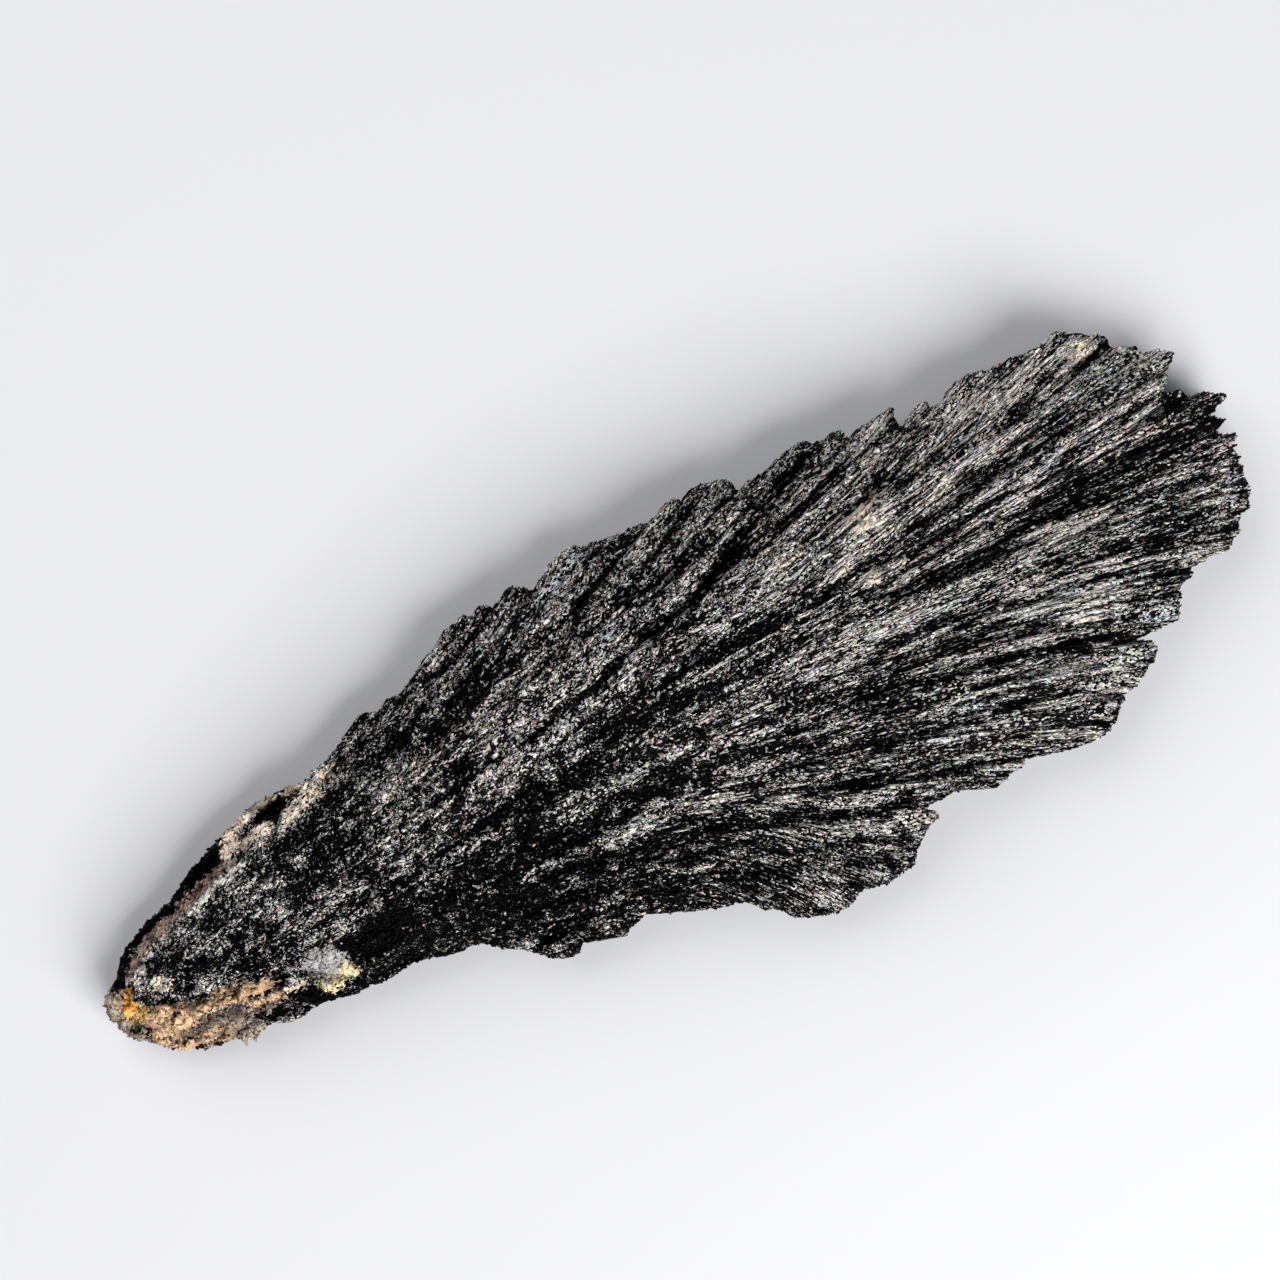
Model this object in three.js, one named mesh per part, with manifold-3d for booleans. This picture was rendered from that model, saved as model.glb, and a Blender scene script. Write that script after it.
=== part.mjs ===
// Black kyanite blade cluster, lying on its broad back.
//
// The cluster grew as one piece, so it is one solid: a domed body, a ragged sheet that carries
// the teeth of its edge, and some ninety flat-faced blades, ledges and lumps, all fused.
// Millimetres. +X runs along the growth axis from the root to the fan, and +Z is up.
import * as THREE from 'three';
import { mergeVertices } from 'three/addons/utils/BufferGeometryUtils.js';
import Module from 'manifold-3d';

const wasm = await Module();
wasm.setup();

// Driving dimensions.
const TENTH = 0.1; // one step of the drawing sheet, in mm
const SHEET_CENTRE = [675, 692.8]; // the sheet's point that becomes x = 0, y = 0
const AXIS_TILT = 32.95; // how far the growth axis rises on the sheet, in degrees
const FAN_LENGTH = 42; // the fibres spread by a factor of e over this length
const DOME_POWER = 3; // 2 is a round back, and larger is flatter in the middle
const EDGE_DROP = 1.2; // how far the ragged sheet's rim lies under the body's edge
const BLADE_ROOTING = 4.5; // how deep a blade's underside lies in the body
const REST_LIFT = 0.7; // how far the underside rises between the patches that it rests on
const BACK_CLEARANCE = 0.15; // least height of the back's blades over the resting plane
const BACK_ROWS = [-45, -33, -21, -7, 8, 23, 37, 48]; // where rows of back blades end, roughly
const BACK_ROOT = -60; // the back's blades start no nearer to the root's end than this
const BACK_LANE = 9; // width of the back that one blade of a row covers
const GOLDEN = 0.618; // staggers the rows without a pattern that shows
const BLACK = 0x1c1b1d;

// The body at places along the growth axis: its two sides, its crown, and the top and the
// bottom of its edge.
const STATIONS = [
  { x: -64.4, low: 2.6, high: 6.0, crown: 6.6, top: 5.2, bottom: 3.0 },
  { x: -62.0, low: -0.8, high: 7.0, crown: 8.4, top: 5.4, bottom: 2.6 },
  { x: -57.0, low: -4.2, high: 8.0, crown: 10.4, top: 5.8, bottom: 2.4 },
  { x: -50.0, low: -5.5, high: 10.2, crown: 11.8, top: 6.0, bottom: 2.4 },
  { x: -42.0, low: -6.9, high: 12.0, crown: 12.8, top: 6.2, bottom: 2.4 },
  { x: -34.0, low: -8.0, high: 12.2, crown: 13.8, top: 6.4, bottom: 2.4 },
  { x: -26.0, low: -12.0, high: 13.2, crown: 14.8, top: 6.6, bottom: 2.5 },
  { x: -17.0, low: -16.0, high: 15.0, crown: 15.6, top: 6.8, bottom: 2.6 },
  { x: -7.0, low: -18.8, high: 15.6, crown: 16.0, top: 7.0, bottom: 2.6 },
  { x: 3.0, low: -24.8, high: 15.8, crown: 16.0, top: 7.0, bottom: 2.6 },
  { x: 13.0, low: -24.8, high: 14.4, crown: 15.7, top: 7.0, bottom: 2.6 },
  { x: 23.0, low: -22.6, high: 12.6, crown: 15.0, top: 7.0, bottom: 2.6 },
  { x: 33.0, low: -24.4, high: 10.4, crown: 13.8, top: 7.0, bottom: 2.6 },
  { x: 42.0, low: -20.2, high: 9.2, crown: 12.6, top: 7.0, bottom: 2.5 },
  { x: 50.0, low: -17.0, high: 7.0, crown: 11.4, top: 7.0, bottom: 2.4 },
  { x: 56.0, low: -14.6, high: 4.4, crown: 10.2, top: 7.0, bottom: 2.4 },
  { x: 59.5, low: -10.0, high: -1.4, crown: 9.2, top: 7.2, bottom: 2.6 },
];

// Where the underside rests: spans along the growth axis, and the share of the width.
const REST_SPANS = [[-51, -41], [-8, 4], [32, 43]];
const REST_WIDTH = 0.5;

// The rim on the drawing sheet, in tenths of a millimetre: x to the right and y down.
const ROOT_SIDE = [
  [100, 1003], [112, 965], [135, 930], [180, 878], [217, 835], [243, 808], [280, 787],
  [302, 781], [324, 760], [360, 714], [378, 711], [398, 695], [422, 659], [437, 641],
];
const UPPER_TEETH = [
  [458, 619], [472, 616], [478, 606], [494, 607], [503, 591], [521, 586], [530, 592],
  [546, 566], [562, 551], [583, 546], [600, 540], [625, 531], [648, 522], [676, 497],
  [682, 500], [700, 484], [725, 478], [736, 486], [728, 497], [750, 480], [780, 456],
  [808, 440], [818, 443], [842, 429], [843, 439], [868, 423], [893, 407], [896, 410],
  [889, 424], [902, 432], [912, 412], [928, 401], [930, 408], [945, 398], [960, 378],
  [989, 371], [1012, 357], [1035, 349], [1062, 329], [1080, 336], [1106, 336], [1097, 349],
  [1130, 348], [1127, 359], [1133, 362], [1150, 351], [1173, 351], [1175, 357], [1159, 375],
  [1169, 373], [1160, 394], [1156, 411],
];
const FAN_EDGE = [
  [1182, 402], [1201, 391], [1224, 396], [1206, 416], [1223, 420], [1212, 433], [1236, 438],
  [1232, 446], [1244, 475], [1250, 495], [1246, 501], [1250, 509], [1240, 512], [1236, 537],
  [1230, 550], [1202, 558], [1211, 558], [1193, 568], [1191, 578], [1180, 590], [1182, 613],
  [1160, 629], [1138, 642], [1160, 647], [1157, 660], [1128, 692], [1120, 715], [1096, 741],
  [1060, 752], [1027, 758], [1011, 775], [989, 790], [949, 794], [923, 811], [942, 818],
  [929, 831], [917, 867], [894, 883], [860, 895], [850, 910],
];
const LOWER_SIDE = [
  [822, 918], [795, 918], [764, 910], [737, 901], [717, 908], [673, 914], [642, 915],
  [627, 937], [585, 944], [562, 960], [521, 951], [480, 946], [449, 958], [410, 966],
  [386, 985], [358, 996], [308, 1014], [289, 1026], [266, 1031], [252, 1045], [224, 1047],
  [200, 1056], [160, 1053], [117, 1038], [104, 1021],
];

// Blades on the upper face and at the teeth. Each ends at its point of the drawing sheet:
// [sheet x, sheet y, length, width, lift above the body], the last three in mm.
const BLADES = [
  // along the upper edge, from the root to the fan
  [380, 722, 9, 2.6, 0.4], [438, 648, 11, 2.6, 0.5], [486, 612, 12, 2.6, 0.6],
  [524, 593, 13, 2.8, 0.7], [582, 553, 16, 3.4, 0.8], [640, 531, 18, 3.0, 0.7],
  [678, 504, 15, 2.4, 0.9], [730, 489, 18, 3.0, 0.8], [806, 447, 20, 3.0, 0.7],
  [843, 440, 16, 2.2, 0.8], [890, 416, 14, 2.4, 0.9], [926, 410, 16, 2.2, 0.6],
  [984, 379, 18, 3.0, 0.6], [1060, 340, 20, 3.2, 0.8], [1096, 341, 14, 2.2, 1.0],
  [1124, 353, 16, 2.0, 0.7], [1168, 357, 16, 1.8, 0.9], [1160, 381, 14, 1.6, 0.6],
  // at the fan's broken edge
  [1218, 399, 24, 2.0, 1.1], [1216, 423, 20, 1.8, 0.6], [1230, 441, 22, 2.0, 0.9],
  [1240, 474, 26, 2.4, 0.6], [1246, 500, 24, 2.0, 1.0], [1236, 528, 22, 2.4, 0.6],
  [1224, 549, 20, 2.0, 0.9], [1190, 572, 24, 2.4, 0.6], [1180, 606, 26, 2.8, 0.9],
  [1154, 651, 30, 3.0, 1.2], [1142, 676, 20, 2.4, 0.6], [1120, 708, 22, 2.8, 0.6],
  [1088, 738, 22, 3.2, 0.7], [1028, 758, 18, 2.8, 0.6], [984, 784, 18, 3.0, 0.7],
  [934, 816, 16, 2.6, 0.7], [916, 852, 15, 2.8, 0.8], [888, 878, 13, 2.8, 0.7],
  [852, 900, 15, 3.6, 0.9],
  // on the broad face
  [1120, 420, 26, 3.2, 0.8], [1060, 462, 24, 3.4, 0.7], [1150, 520, 30, 3.4, 0.8],
  [1010, 420, 20, 3.0, 0.9], [940, 470, 22, 3.6, 0.9], [890, 510, 22, 4.4, 1.1],
  [1050, 560, 28, 3.6, 0.7], [960, 590, 28, 4.0, 0.9], [1070, 640, 26, 3.2, 0.8],
  [960, 690, 26, 3.6, 1.0], [860, 600, 24, 3.8, 0.8], [800, 540, 20, 3.4, 0.7],
  [740, 600, 20, 3.8, 0.9], [700, 560, 14, 2.6, 0.8], [640, 610, 16, 3.4, 0.8],
  [850, 690, 26, 4.0, 0.8], [1000, 740, 20, 3.0, 0.6], [900, 760, 24, 3.6, 0.8],
  [760, 690, 24, 4.2, 0.9], [660, 680, 20, 3.8, 0.8], [580, 660, 15, 3.2, 0.7],
  [520, 680, 13, 3.0, 0.7], [820, 830, 22, 3.6, 0.7], [740, 800, 24, 4.0, 0.8],
  [650, 760, 22, 4.0, 0.8], [560, 740, 18, 3.6, 0.8], [480, 740, 14, 3.0, 0.6],
  [770, 892, 16, 3.2, 0.6], [690, 880, 20, 3.4, 0.6], [610, 850, 20, 3.8, 0.7],
  [530, 820, 18, 3.4, 0.7], [450, 810, 15, 3.0, 0.7], [600, 925, 14, 2.8, 0.6],
  [540, 930, 12, 2.8, 0.6], [470, 900, 15, 3.2, 0.6], [400, 900, 14, 3.2, 0.6],
  [390, 960, 11, 2.6, 0.4], [340, 810, 11, 2.6, 0.5],
];

// Lumps of the weathered root: [sheet x, sheet y, length, width, height, lift], in mm.
const ROOT_LUMPS = [
  [205, 962, 17, 8.6, 6, 0.9], [265, 905, 18, 9.6, 6, 0.8], [232, 840, 4.6, 3.0, 3, 0.8],
  [276, 797, 6.0, 2.6, 3, 0.8], [338, 962, 4.6, 3.0, 3, 0.7], [118, 1006, 4.0, 4.4, 4, 0.6],
  [160, 1030, 8.0, 3.6, 4, 0.6], [222, 1030, 6.0, 3.4, 4, 0.6], [290, 1000, 6.0, 3.4, 4, 0.5],
];

// Deep dark gaps between bundles of blades: [from x, from y, to x, to y, width, depth].
const GAPS = [
  [686, 612, 756, 534, 1.3, 1.6], [636, 572, 694, 522, 1.1, 1.4], [486, 672, 536, 596, 1.2, 1.3],
  [868, 806, 906, 792, 1.2, 1.4], [560, 850, 650, 818, 1.3, 1.2], [262, 818, 292, 800, 1.4, 1.6],
  [1010, 522, 1110, 470, 1.0, 1.2], [900, 722, 1010, 676, 1.0, 1.2],
];

const axisCos = Math.cos(THREE.MathUtils.degToRad(AXIS_TILT));
const axisSin = Math.sin(THREE.MathUtils.degToRad(AXIS_TILT));

/** Turns a point of the drawing sheet into the growth frame, in mm. */
function place([sheetX, sheetY]) {
  const right = (sheetX - SHEET_CENTRE[0]) * TENTH;
  const up = (SHEET_CENTRE[1] - sheetY) * TENTH;
  return new THREE.Vector2(right * axisCos + up * axisSin, up * axisCos - right * axisSin);
}

/** The body's sides and heights at a place along the growth axis. */
function bodyAt(x) {
  const last = STATIONS.length - 2;
  const found = STATIONS.findIndex((station) => station.x > x) - 1;
  const index = THREE.MathUtils.clamp(found === -2 ? last : found, 0, last);
  const [before, after] = [STATIONS[index], STATIONS[index + 1]];
  const share = THREE.MathUtils.clamp((x - before.x) / (after.x - before.x), 0, 1);
  const body = {};
  for (const name of ['low', 'high', 'crown', 'top', 'bottom']) {
    body[name] = THREE.MathUtils.lerp(before[name], after[name], share);
  }
  return body;
}

/** How far a point lies from the middle of the body: 0 in the middle, 1 at the sides. */
function sideways(body, y) {
  const middle = (body.low + body.high) / 2;
  return Math.min(1, Math.abs(y - middle) / ((body.high - body.low) / 2));
}

/** Height of the body's upper face. */
function topAt(x, y) {
  const body = bodyAt(x);
  return body.crown - (body.crown - body.top) * sideways(body, y) ** DOME_POWER;
}

/** Height of the body's underside, which is flat where it rests. */
function bottomAt(x, y) {
  const body = bodyAt(x);
  const side = sideways(body, y);
  const resting = REST_SPANS.some(([start, end]) => x >= start && x <= end);
  const middle = resting ? 0 : REST_LIFT;
  const share = Math.max(0, (side - REST_WIDTH) / (1 - REST_WIDTH));
  return middle + (body.bottom - middle) * share;
}

/** Follows the fibre through a point for a distance along the growth axis. */
function alongFibre(point, distance) {
  return new THREE.Vector2(point.x + distance, point.y * Math.exp(distance / FAN_LENGTH));
}

/** A box of unit size with its corner at the origin, moved point by point. */
function shapedBox(along, across, shape) {
  const box = new THREE.BoxGeometry(1, 1, 1, along, across, 1).translate(0.5, 0.5, 0.5);
  const points = box.attributes.position;
  const point = new THREE.Vector3();
  for (let i = 0; i < points.count; i += 1) {
    point.fromBufferAttribute(points, i);
    const { x, y, z } = shape(point.x, point.y, point.z > 0.5);
    points.setXYZ(i, x, y, z);
  }
  return box;
}

/** Turns a closed three.js geometry into a solid that can be joined and cut. */
function solidFrom(geometry) {
  geometry.deleteAttribute('normal');
  geometry.deleteAttribute('uv');
  const merged = mergeVertices(geometry, 1e-4);
  const triVerts = Uint32Array.from(merged.index.array);
  const vertProperties = Float32Array.from(merged.attributes.position.array);
  return new wasm.Manifold(new wasm.Mesh({ numProp: 3, vertProperties, triVerts }));
}

/** The domed body, from station to station. */
function makeBody() {
  const spans = STATIONS.length - 1;
  const shares = [0, 0.07, 0.25, 0.5, 0.75, 0.93, 1];
  return solidFrom(shapedBox(spans, shares.length - 1, (u, v, upper) => {
    const { x, low, high } = STATIONS[Math.round(u * spans)];
    const y = THREE.MathUtils.lerp(low, high, shares[Math.round(v * (shares.length - 1))]);
    return { x, y, z: upper ? topAt(x, y) : bottomAt(x, y) };
  }));
}

/** The ragged sheet, whose rim has the teeth and notches of the cluster's edge. */
function makeRaggedSheet() {
  const rim = [...ROOT_SIDE, ...UPPER_TEETH, ...FAN_EDGE, ...LOWER_SIDE].map(place);
  const sheet = new THREE.ExtrudeGeometry(new THREE.Shape(rim), { depth: 1, bevelEnabled: false });
  const points = sheet.attributes.position;
  for (let i = 0; i < points.count; i += 1) {
    const [x, y] = [points.getX(i), points.getY(i)];
    const { top, bottom } = bodyAt(x);
    const unevenness = 0.6 * Math.sin(1.9 * x + 1.3 * y);
    const upper = top - EDGE_DROP + unevenness;
    points.setZ(i, points.getZ(i) > 0.5 ? upper : bottom + unevenness / 2);
  }
  return solidFrom(sheet);
}

/** A long flat-faced blade that follows its fibre and ends in a slanting break. */
function makeBlade([sheetX, sheetY, length, width, lift], index) {
  const tip = place([sheetX, sheetY]);
  const ridge = index % 2 ? 0.34 : 0.62; // where the blade's ridge runs across its width
  const slant = (index % 3 - 1) * 0.35 * width; // how far the broken end slants
  const steps = 3;
  return solidFrom(shapedBox(steps, 2, (u, v, upper) => {
    const centre = alongFibre(tip, -(1 - u) * length);
    const across = [0, ridge, 1][Math.round(v * 2)] - 0.5;
    const taper = u === 0 ? 0.35 : 1;
    const x = centre.x + (u === 1 ? across * slant : 0);
    const y = centre.y + across * width * taper;
    const body = bodyAt(centre.x);
    const inside = topAt(centre.x, centre.y) - body.bottom;
    const under = Math.min(BLADE_ROOTING, inside * 0.7) * (upper ? 0 : 1);
    const crest = upper ? lift * (u === 0 ? -0.5 : 1) - (Math.round(v * 2) === 1 ? 0 : 0.45) : 0;
    return { x, y, z: topAt(centre.x, centre.y) + crest - under };
  }));
}

/** Blades that cover the back in staggered rows, none of them lower than where it rests. */
function makeBackBlades() {
  const blades = [];
  for (const [row, rowX] of BACK_ROWS.entries()) {
    const body = bodyAt(rowX);
    const lanes = Math.max(1, Math.round((body.high - body.low) / BACK_LANE));
    for (let lane = 0; lane < lanes; lane += 1) {
      const stagger = (row * GOLDEN + lane * (1 - GOLDEN)) % 1;
      const share = (lane + 0.3 + 0.4 * stagger) / lanes;
      const y = THREE.MathUtils.lerp(body.low, body.high, share);
      const tip = new THREE.Vector2(rowX + 8 * stagger, y);
      const length = Math.min(16 + 6 * stagger, tip.x - BACK_ROOT);
      blades.push(makeBackBlade(tip, length, 2.8 + 1.8 * stagger, 0.6 + 0.5 * stagger));
    }
  }
  return blades;
}

/** One blade of the back, with its ridge down. */
function makeBackBlade(tip, length, width, drop) {
  return solidFrom(shapedBox(2, 2, (u, v, upper) => {
    const centre = alongFibre(tip, -(1 - u) * length);
    const across = v - 0.5;
    const y = centre.y + across * width * (u === 0 ? 0.4 : 1);
    const surface = bottomAt(centre.x, centre.y);
    const crest = drop * (u === 0 ? -0.5 : 1) - (v === 0.5 ? 0 : 0.45);
    const lower = Math.max(BACK_CLEARANCE, surface - crest);
    return { x: centre.x, y, z: upper ? surface + BLADE_ROOTING / 2 : lower };
  }));
}

/** A faceted lump of the weathered root. */
function makeLump([sheetX, sheetY, length, width, height, lift], index) {
  const centre = place([sheetX, sheetY]);
  const lump = new THREE.IcosahedronGeometry(1, 1).rotateZ(index).rotateX(0.4 * index);
  lump.scale(length / 2, width / 2, height / 2);
  lump.translate(centre.x, centre.y, topAt(centre.x, centre.y) + lift - height / 2);
  return solidFrom(lump);
}

/** The wedge that opens a dark gap in the upper face. */
function makeGap([fromX, fromY, toX, toY, width, depth]) {
  const [from, to] = [place([fromX, fromY]), place([toX, toY])];
  const direction = to.clone().sub(from).normalize();
  return solidFrom(shapedBox(2, 1, (u, v, upper) => {
    const centre = from.clone().lerp(to, u);
    const half = (v - 0.5) * width * (upper ? 3 : 0.25) * (u === 0.5 ? 1 : 0.3);
    const z = topAt(centre.x, centre.y) + (upper ? 2 * depth : -depth * (u === 0.5 ? 1 : 0.2));
    return { x: centre.x - direction.y * half, y: centre.y + direction.x * half, z };
  }));
}

/** Joins everything, opens the gaps, and puts the origin under the middle of the box. */
function makeCluster() {
  let cluster = makeBody().add(makeRaggedSheet());
  const fused = [...BLADES.map(makeBlade), ...makeBackBlades(), ...ROOT_LUMPS.map(makeLump)];
  for (const solid of fused) {
    cluster = cluster.add(solid);
  }
  for (const gap of GAPS.map(makeGap)) {
    cluster = cluster.subtract(gap);
  }
  const { vertProperties, triVerts } = cluster.getMesh();
  const geometry = new THREE.BufferGeometry();
  geometry.setAttribute('position', new THREE.BufferAttribute(vertProperties, 3));
  geometry.setIndex(new THREE.BufferAttribute(triVerts, 1));
  geometry.computeBoundingBox();
  const { min, max } = geometry.boundingBox;
  geometry.translate(-(min.x + max.x) / 2, -(min.y + max.y) / 2, -min.z);
  geometry.computeVertexNormals();
  return geometry;
}

const kyanite = new THREE.MeshStandardMaterial({ color: BLACK, roughness: 0.45, metalness: 0 });
const cluster = new THREE.Mesh(makeCluster(), kyanite);
cluster.name = 'kyanite_cluster';

const part = new THREE.Group();
part.add(cluster);
export default part;
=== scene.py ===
"""Dresses the black kyanite blade cluster: its body, its blades and its coat of crystals.

Lengths are millimetres in the growth frame, whose x runs along the growth axis, until a mesh is
written. Meshes are in metres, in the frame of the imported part.
"""

import logging
import math
from dataclasses import dataclass
from enum import Enum

import bpy
import numpy as np
from mathutils import Matrix, Vector


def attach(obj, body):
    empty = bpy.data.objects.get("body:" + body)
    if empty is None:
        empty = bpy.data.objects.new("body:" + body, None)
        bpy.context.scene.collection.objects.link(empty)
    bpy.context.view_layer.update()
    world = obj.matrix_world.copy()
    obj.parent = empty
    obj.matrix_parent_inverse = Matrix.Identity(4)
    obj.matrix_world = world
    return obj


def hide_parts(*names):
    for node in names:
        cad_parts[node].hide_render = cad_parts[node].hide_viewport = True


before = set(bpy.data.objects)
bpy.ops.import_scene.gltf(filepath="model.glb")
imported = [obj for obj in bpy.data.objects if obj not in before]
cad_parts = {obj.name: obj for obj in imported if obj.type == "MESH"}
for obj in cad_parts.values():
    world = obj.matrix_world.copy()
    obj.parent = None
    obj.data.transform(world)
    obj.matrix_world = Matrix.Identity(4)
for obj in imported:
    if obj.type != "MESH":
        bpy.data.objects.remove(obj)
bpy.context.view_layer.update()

Array = np.ndarray
Arrays = tuple[np.ndarray, ...]
Pair = tuple[float, float]
Triple = tuple[float, float, float]
Generator = np.random.Generator
Material = bpy.types.Material
Thing = bpy.types.Object
Tree = bpy.types.NodeTree
Node = bpy.types.Node
Socket = bpy.types.NodeSocket
LOG = logging.getLogger("kyanite")
MILLIMETRE = 0.001
TENTH = 0.1
NODE = "kyanite_cluster"
# Limits in mm for every crystal's points, and the red below which a stain counts as black.
LOWEST_POINT = 0.005
HIGHEST_POINT = 16.88
BLACK_BELOW = 0.01


class Tone(Enum):
    """Colours of the mineral, as linear red, green and blue."""

    BLACK = (0.004, 0.004, 0.004)
    # SILVER to WARM_WHITE colour the flecks: pale grains of the mineral, and in part painted glints of the
    # black crystals' sheen.
    SILVER = (0.53, 0.50, 0.465)
    COOL_GREY = (0.455, 0.47, 0.475)
    GREEN_GREY = (0.485, 0.49, 0.435)
    PINK_GREY = (0.53, 0.465, 0.435)
    WARM_WHITE = (0.66, 0.58, 0.49)
    RIND = (0.225, 0.18, 0.14)
    RIND_DARK = (0.12, 0.092, 0.072)
    CREAM = (0.62, 0.52, 0.41)
    STRAW = (0.54, 0.44, 0.27)
    TAN = (0.385, 0.255, 0.155)
    SCALE = (0.40, 0.345, 0.275)
    OCHRE = (0.50, 0.315, 0.125)
    RUST = (0.56, 0.23, 0.045)
    DARK_RED = (0.10, 0.033, 0.02)
    PINK_BROWN = (0.26, 0.18, 0.145)
    QUARTZ = (0.21, 0.205, 0.20)


class Side(Enum):
    """Which face of the cluster a coat of crystals lies on."""

    FRONT = 1
    BACK = -1


# The rim on the drawing sheet, in tenths of a millimetre: x to the right and y down.
ROOT_SIDE = [
    (100, 1003), (103, 992), (110, 978), (112, 965), (119, 951), (135, 930), (166, 900), (180, 878),
    (198, 857), (217, 835), (235, 818), (243, 808), (258, 799), (280, 787), (302, 781), (312, 770),
    (324, 760), (360, 714), (368, 712), (378, 711), (385, 700), (398, 695), (412, 675), (422, 659),
    (432, 650), (437, 641), (443, 631),
]
UPPER_TEETH = [
    (458, 619), (463, 614), (472, 616), (478, 606), (483, 604), (494, 607), (498, 603), (503, 591),
    (512, 585), (521, 586), (528, 587), (530, 592), (537, 581), (546, 566), (553, 561), (562, 551),
    (573, 544), (583, 546), (592, 541), (600, 540), (612, 535), (625, 531), (638, 524), (648, 522),
    (657, 512), (668, 501), (676, 497), (682, 500), (690, 490), (700, 484), (712, 481), (725, 478),
    (733, 481), (736, 486), (728, 497), (740, 490), (750, 480), (755, 478), (767, 468), (780, 456),
    (792, 447), (800, 441), (808, 440), (818, 443), (826, 438), (835, 431), (842, 429), (846, 432),
    (843, 439), (851, 436), (860, 427), (868, 423), (877, 417), (885, 412), (893, 407), (896, 410),
    (889, 424), (902, 432), (905, 425), (912, 412), (920, 402), (928, 401), (930, 408), (940, 404),
    (945, 398), (952, 388), (960, 378), (970, 374), (980, 370), (989, 371), (1000, 363), (1012, 357),
    (1025, 353), (1035, 349), (1045, 341), (1053, 333), (1062, 329), (1070, 332), (1080, 336), (1090, 336),
    (1098, 333), (1106, 336), (1100, 343), (1097, 349), (1105, 348), (1115, 346), (1125, 344), (1130, 348),
    (1127, 359), (1133, 362), (1140, 358), (1150, 351), (1158, 349), (1166, 351), (1173, 351), (1175, 357),
    (1170, 365), (1159, 375), (1169, 373), (1165, 383), (1160, 394), (1156, 405), (1156, 411),
]
FAN_EDGE = [
    (1171, 408), (1182, 402), (1191, 396), (1201, 391), (1211, 394), (1221, 394), (1224, 399), (1215, 406),
    (1206, 416), (1212, 420), (1223, 420), (1219, 426), (1212, 433), (1225, 436), (1233, 434), (1236, 440),
    (1232, 446), (1240, 457), (1242, 465), (1244, 475), (1250, 482), (1250, 495), (1246, 501), (1251, 502),
    (1250, 509), (1240, 512), (1240, 520), (1240, 531), (1236, 537), (1232, 545), (1230, 550), (1216, 555),
    (1202, 558), (1211, 558), (1200, 563), (1193, 568), (1194, 574), (1191, 578), (1183, 581), (1180, 590),
    (1182, 596), (1177, 602), (1181, 604), (1182, 613), (1179, 620), (1168, 625), (1160, 629), (1150, 634),
    (1141, 638), (1138, 642), (1152, 641), (1160, 647), (1158, 655), (1157, 660), (1150, 666), (1147, 673),
    (1141, 680), (1137, 687), (1128, 692), (1127, 702), (1121, 705), (1120, 715), (1116, 724), (1111, 730),
    (1105, 736), (1096, 741), (1085, 745), (1075, 748), (1060, 752), (1040, 757), (1027, 758), (1025, 764),
    (1020, 770), (1011, 775), (1008, 781), (1000, 786), (989, 790), (975, 789), (960, 792), (949, 794),
    (945, 799), (934, 803), (923, 811), (938, 812), (942, 818), (936, 824), (929, 831), (926, 839),
    (921, 846), (919, 856), (917, 867), (908, 872), (900, 878), (894, 883), (881, 888), (869, 889),
    (860, 895), (858, 902), (850, 910),
]
LOWER_SIDE = [
    (837, 915), (822, 918), (807, 920), (795, 918), (785, 913), (775, 910), (764, 910), (756, 906),
    (748, 902), (737, 901), (731, 906), (717, 908), (695, 911), (673, 914), (655, 915), (642, 915),
    (640, 921), (632, 930), (627, 937), (614, 940), (600, 942), (585, 944), (580, 953), (573, 957),
    (562, 960), (548, 959), (532, 955), (521, 951), (508, 950), (480, 946), (470, 949), (460, 954),
    (449, 958), (436, 960), (421, 964), (410, 966), (402, 974), (392, 979), (386, 985), (376, 987),
    (367, 990), (358, 996), (346, 1001), (333, 1004), (321, 1009), (308, 1014), (300, 1021), (289, 1026),
    (275, 1027), (266, 1031), (257, 1038), (252, 1045), (240, 1044), (224, 1047), (211, 1053), (200, 1056),
]
ROOT_END = [
    (187, 1054), (175, 1056), (160, 1053), (145, 1049), (129, 1044), (117, 1038), (111, 1030), (104, 1021),
    (100, 1013),
]

# The domed body at stations of the growth axis: x, the lowest and the highest y, then the heights
# of the crown, of the front at the sides and of the back at the sides, all in mm.
STATION_X, LOW_Y, HIGH_Y, CROWN, TOP, BOTTOM = np.array([
    (-64.4, 2.6, 6, 6.6, 5.2, 3), (-62, -0.8, 7, 8.4, 5.4, 2.6), (-57, -4.2, 8, 10.4, 5.8, 2.4),
    (-50, -5.5, 10.2, 11.8, 6, 2.4), (-42, -6.9, 12, 12.8, 6.2, 2.4), (-34, -8, 12.2, 13.8, 6.4, 2.4),
    (-26, -12, 13.2, 14.8, 6.6, 2.5), (-17, -16, 15, 15.6, 6.8, 2.6), (-7, -18.8, 15.6, 16, 7, 2.6),
    (3, -24.8, 15.8, 16, 7, 2.6), (13, -24.8, 14.4, 15.7, 7, 2.6), (23, -22.6, 12.6, 15, 7, 2.6),
    (33, -24.4, 10.4, 13.8, 7, 2.6), (42, -20.2, 9.2, 12.6, 7, 2.5), (50, -17, 7, 11.4, 7, 2.4),
    (56, -14.6, 4.4, 10.2, 7, 2.4), (59.5, -10, -1.4, 9.2, 7.2, 2.6),
], dtype=float).T

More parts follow.
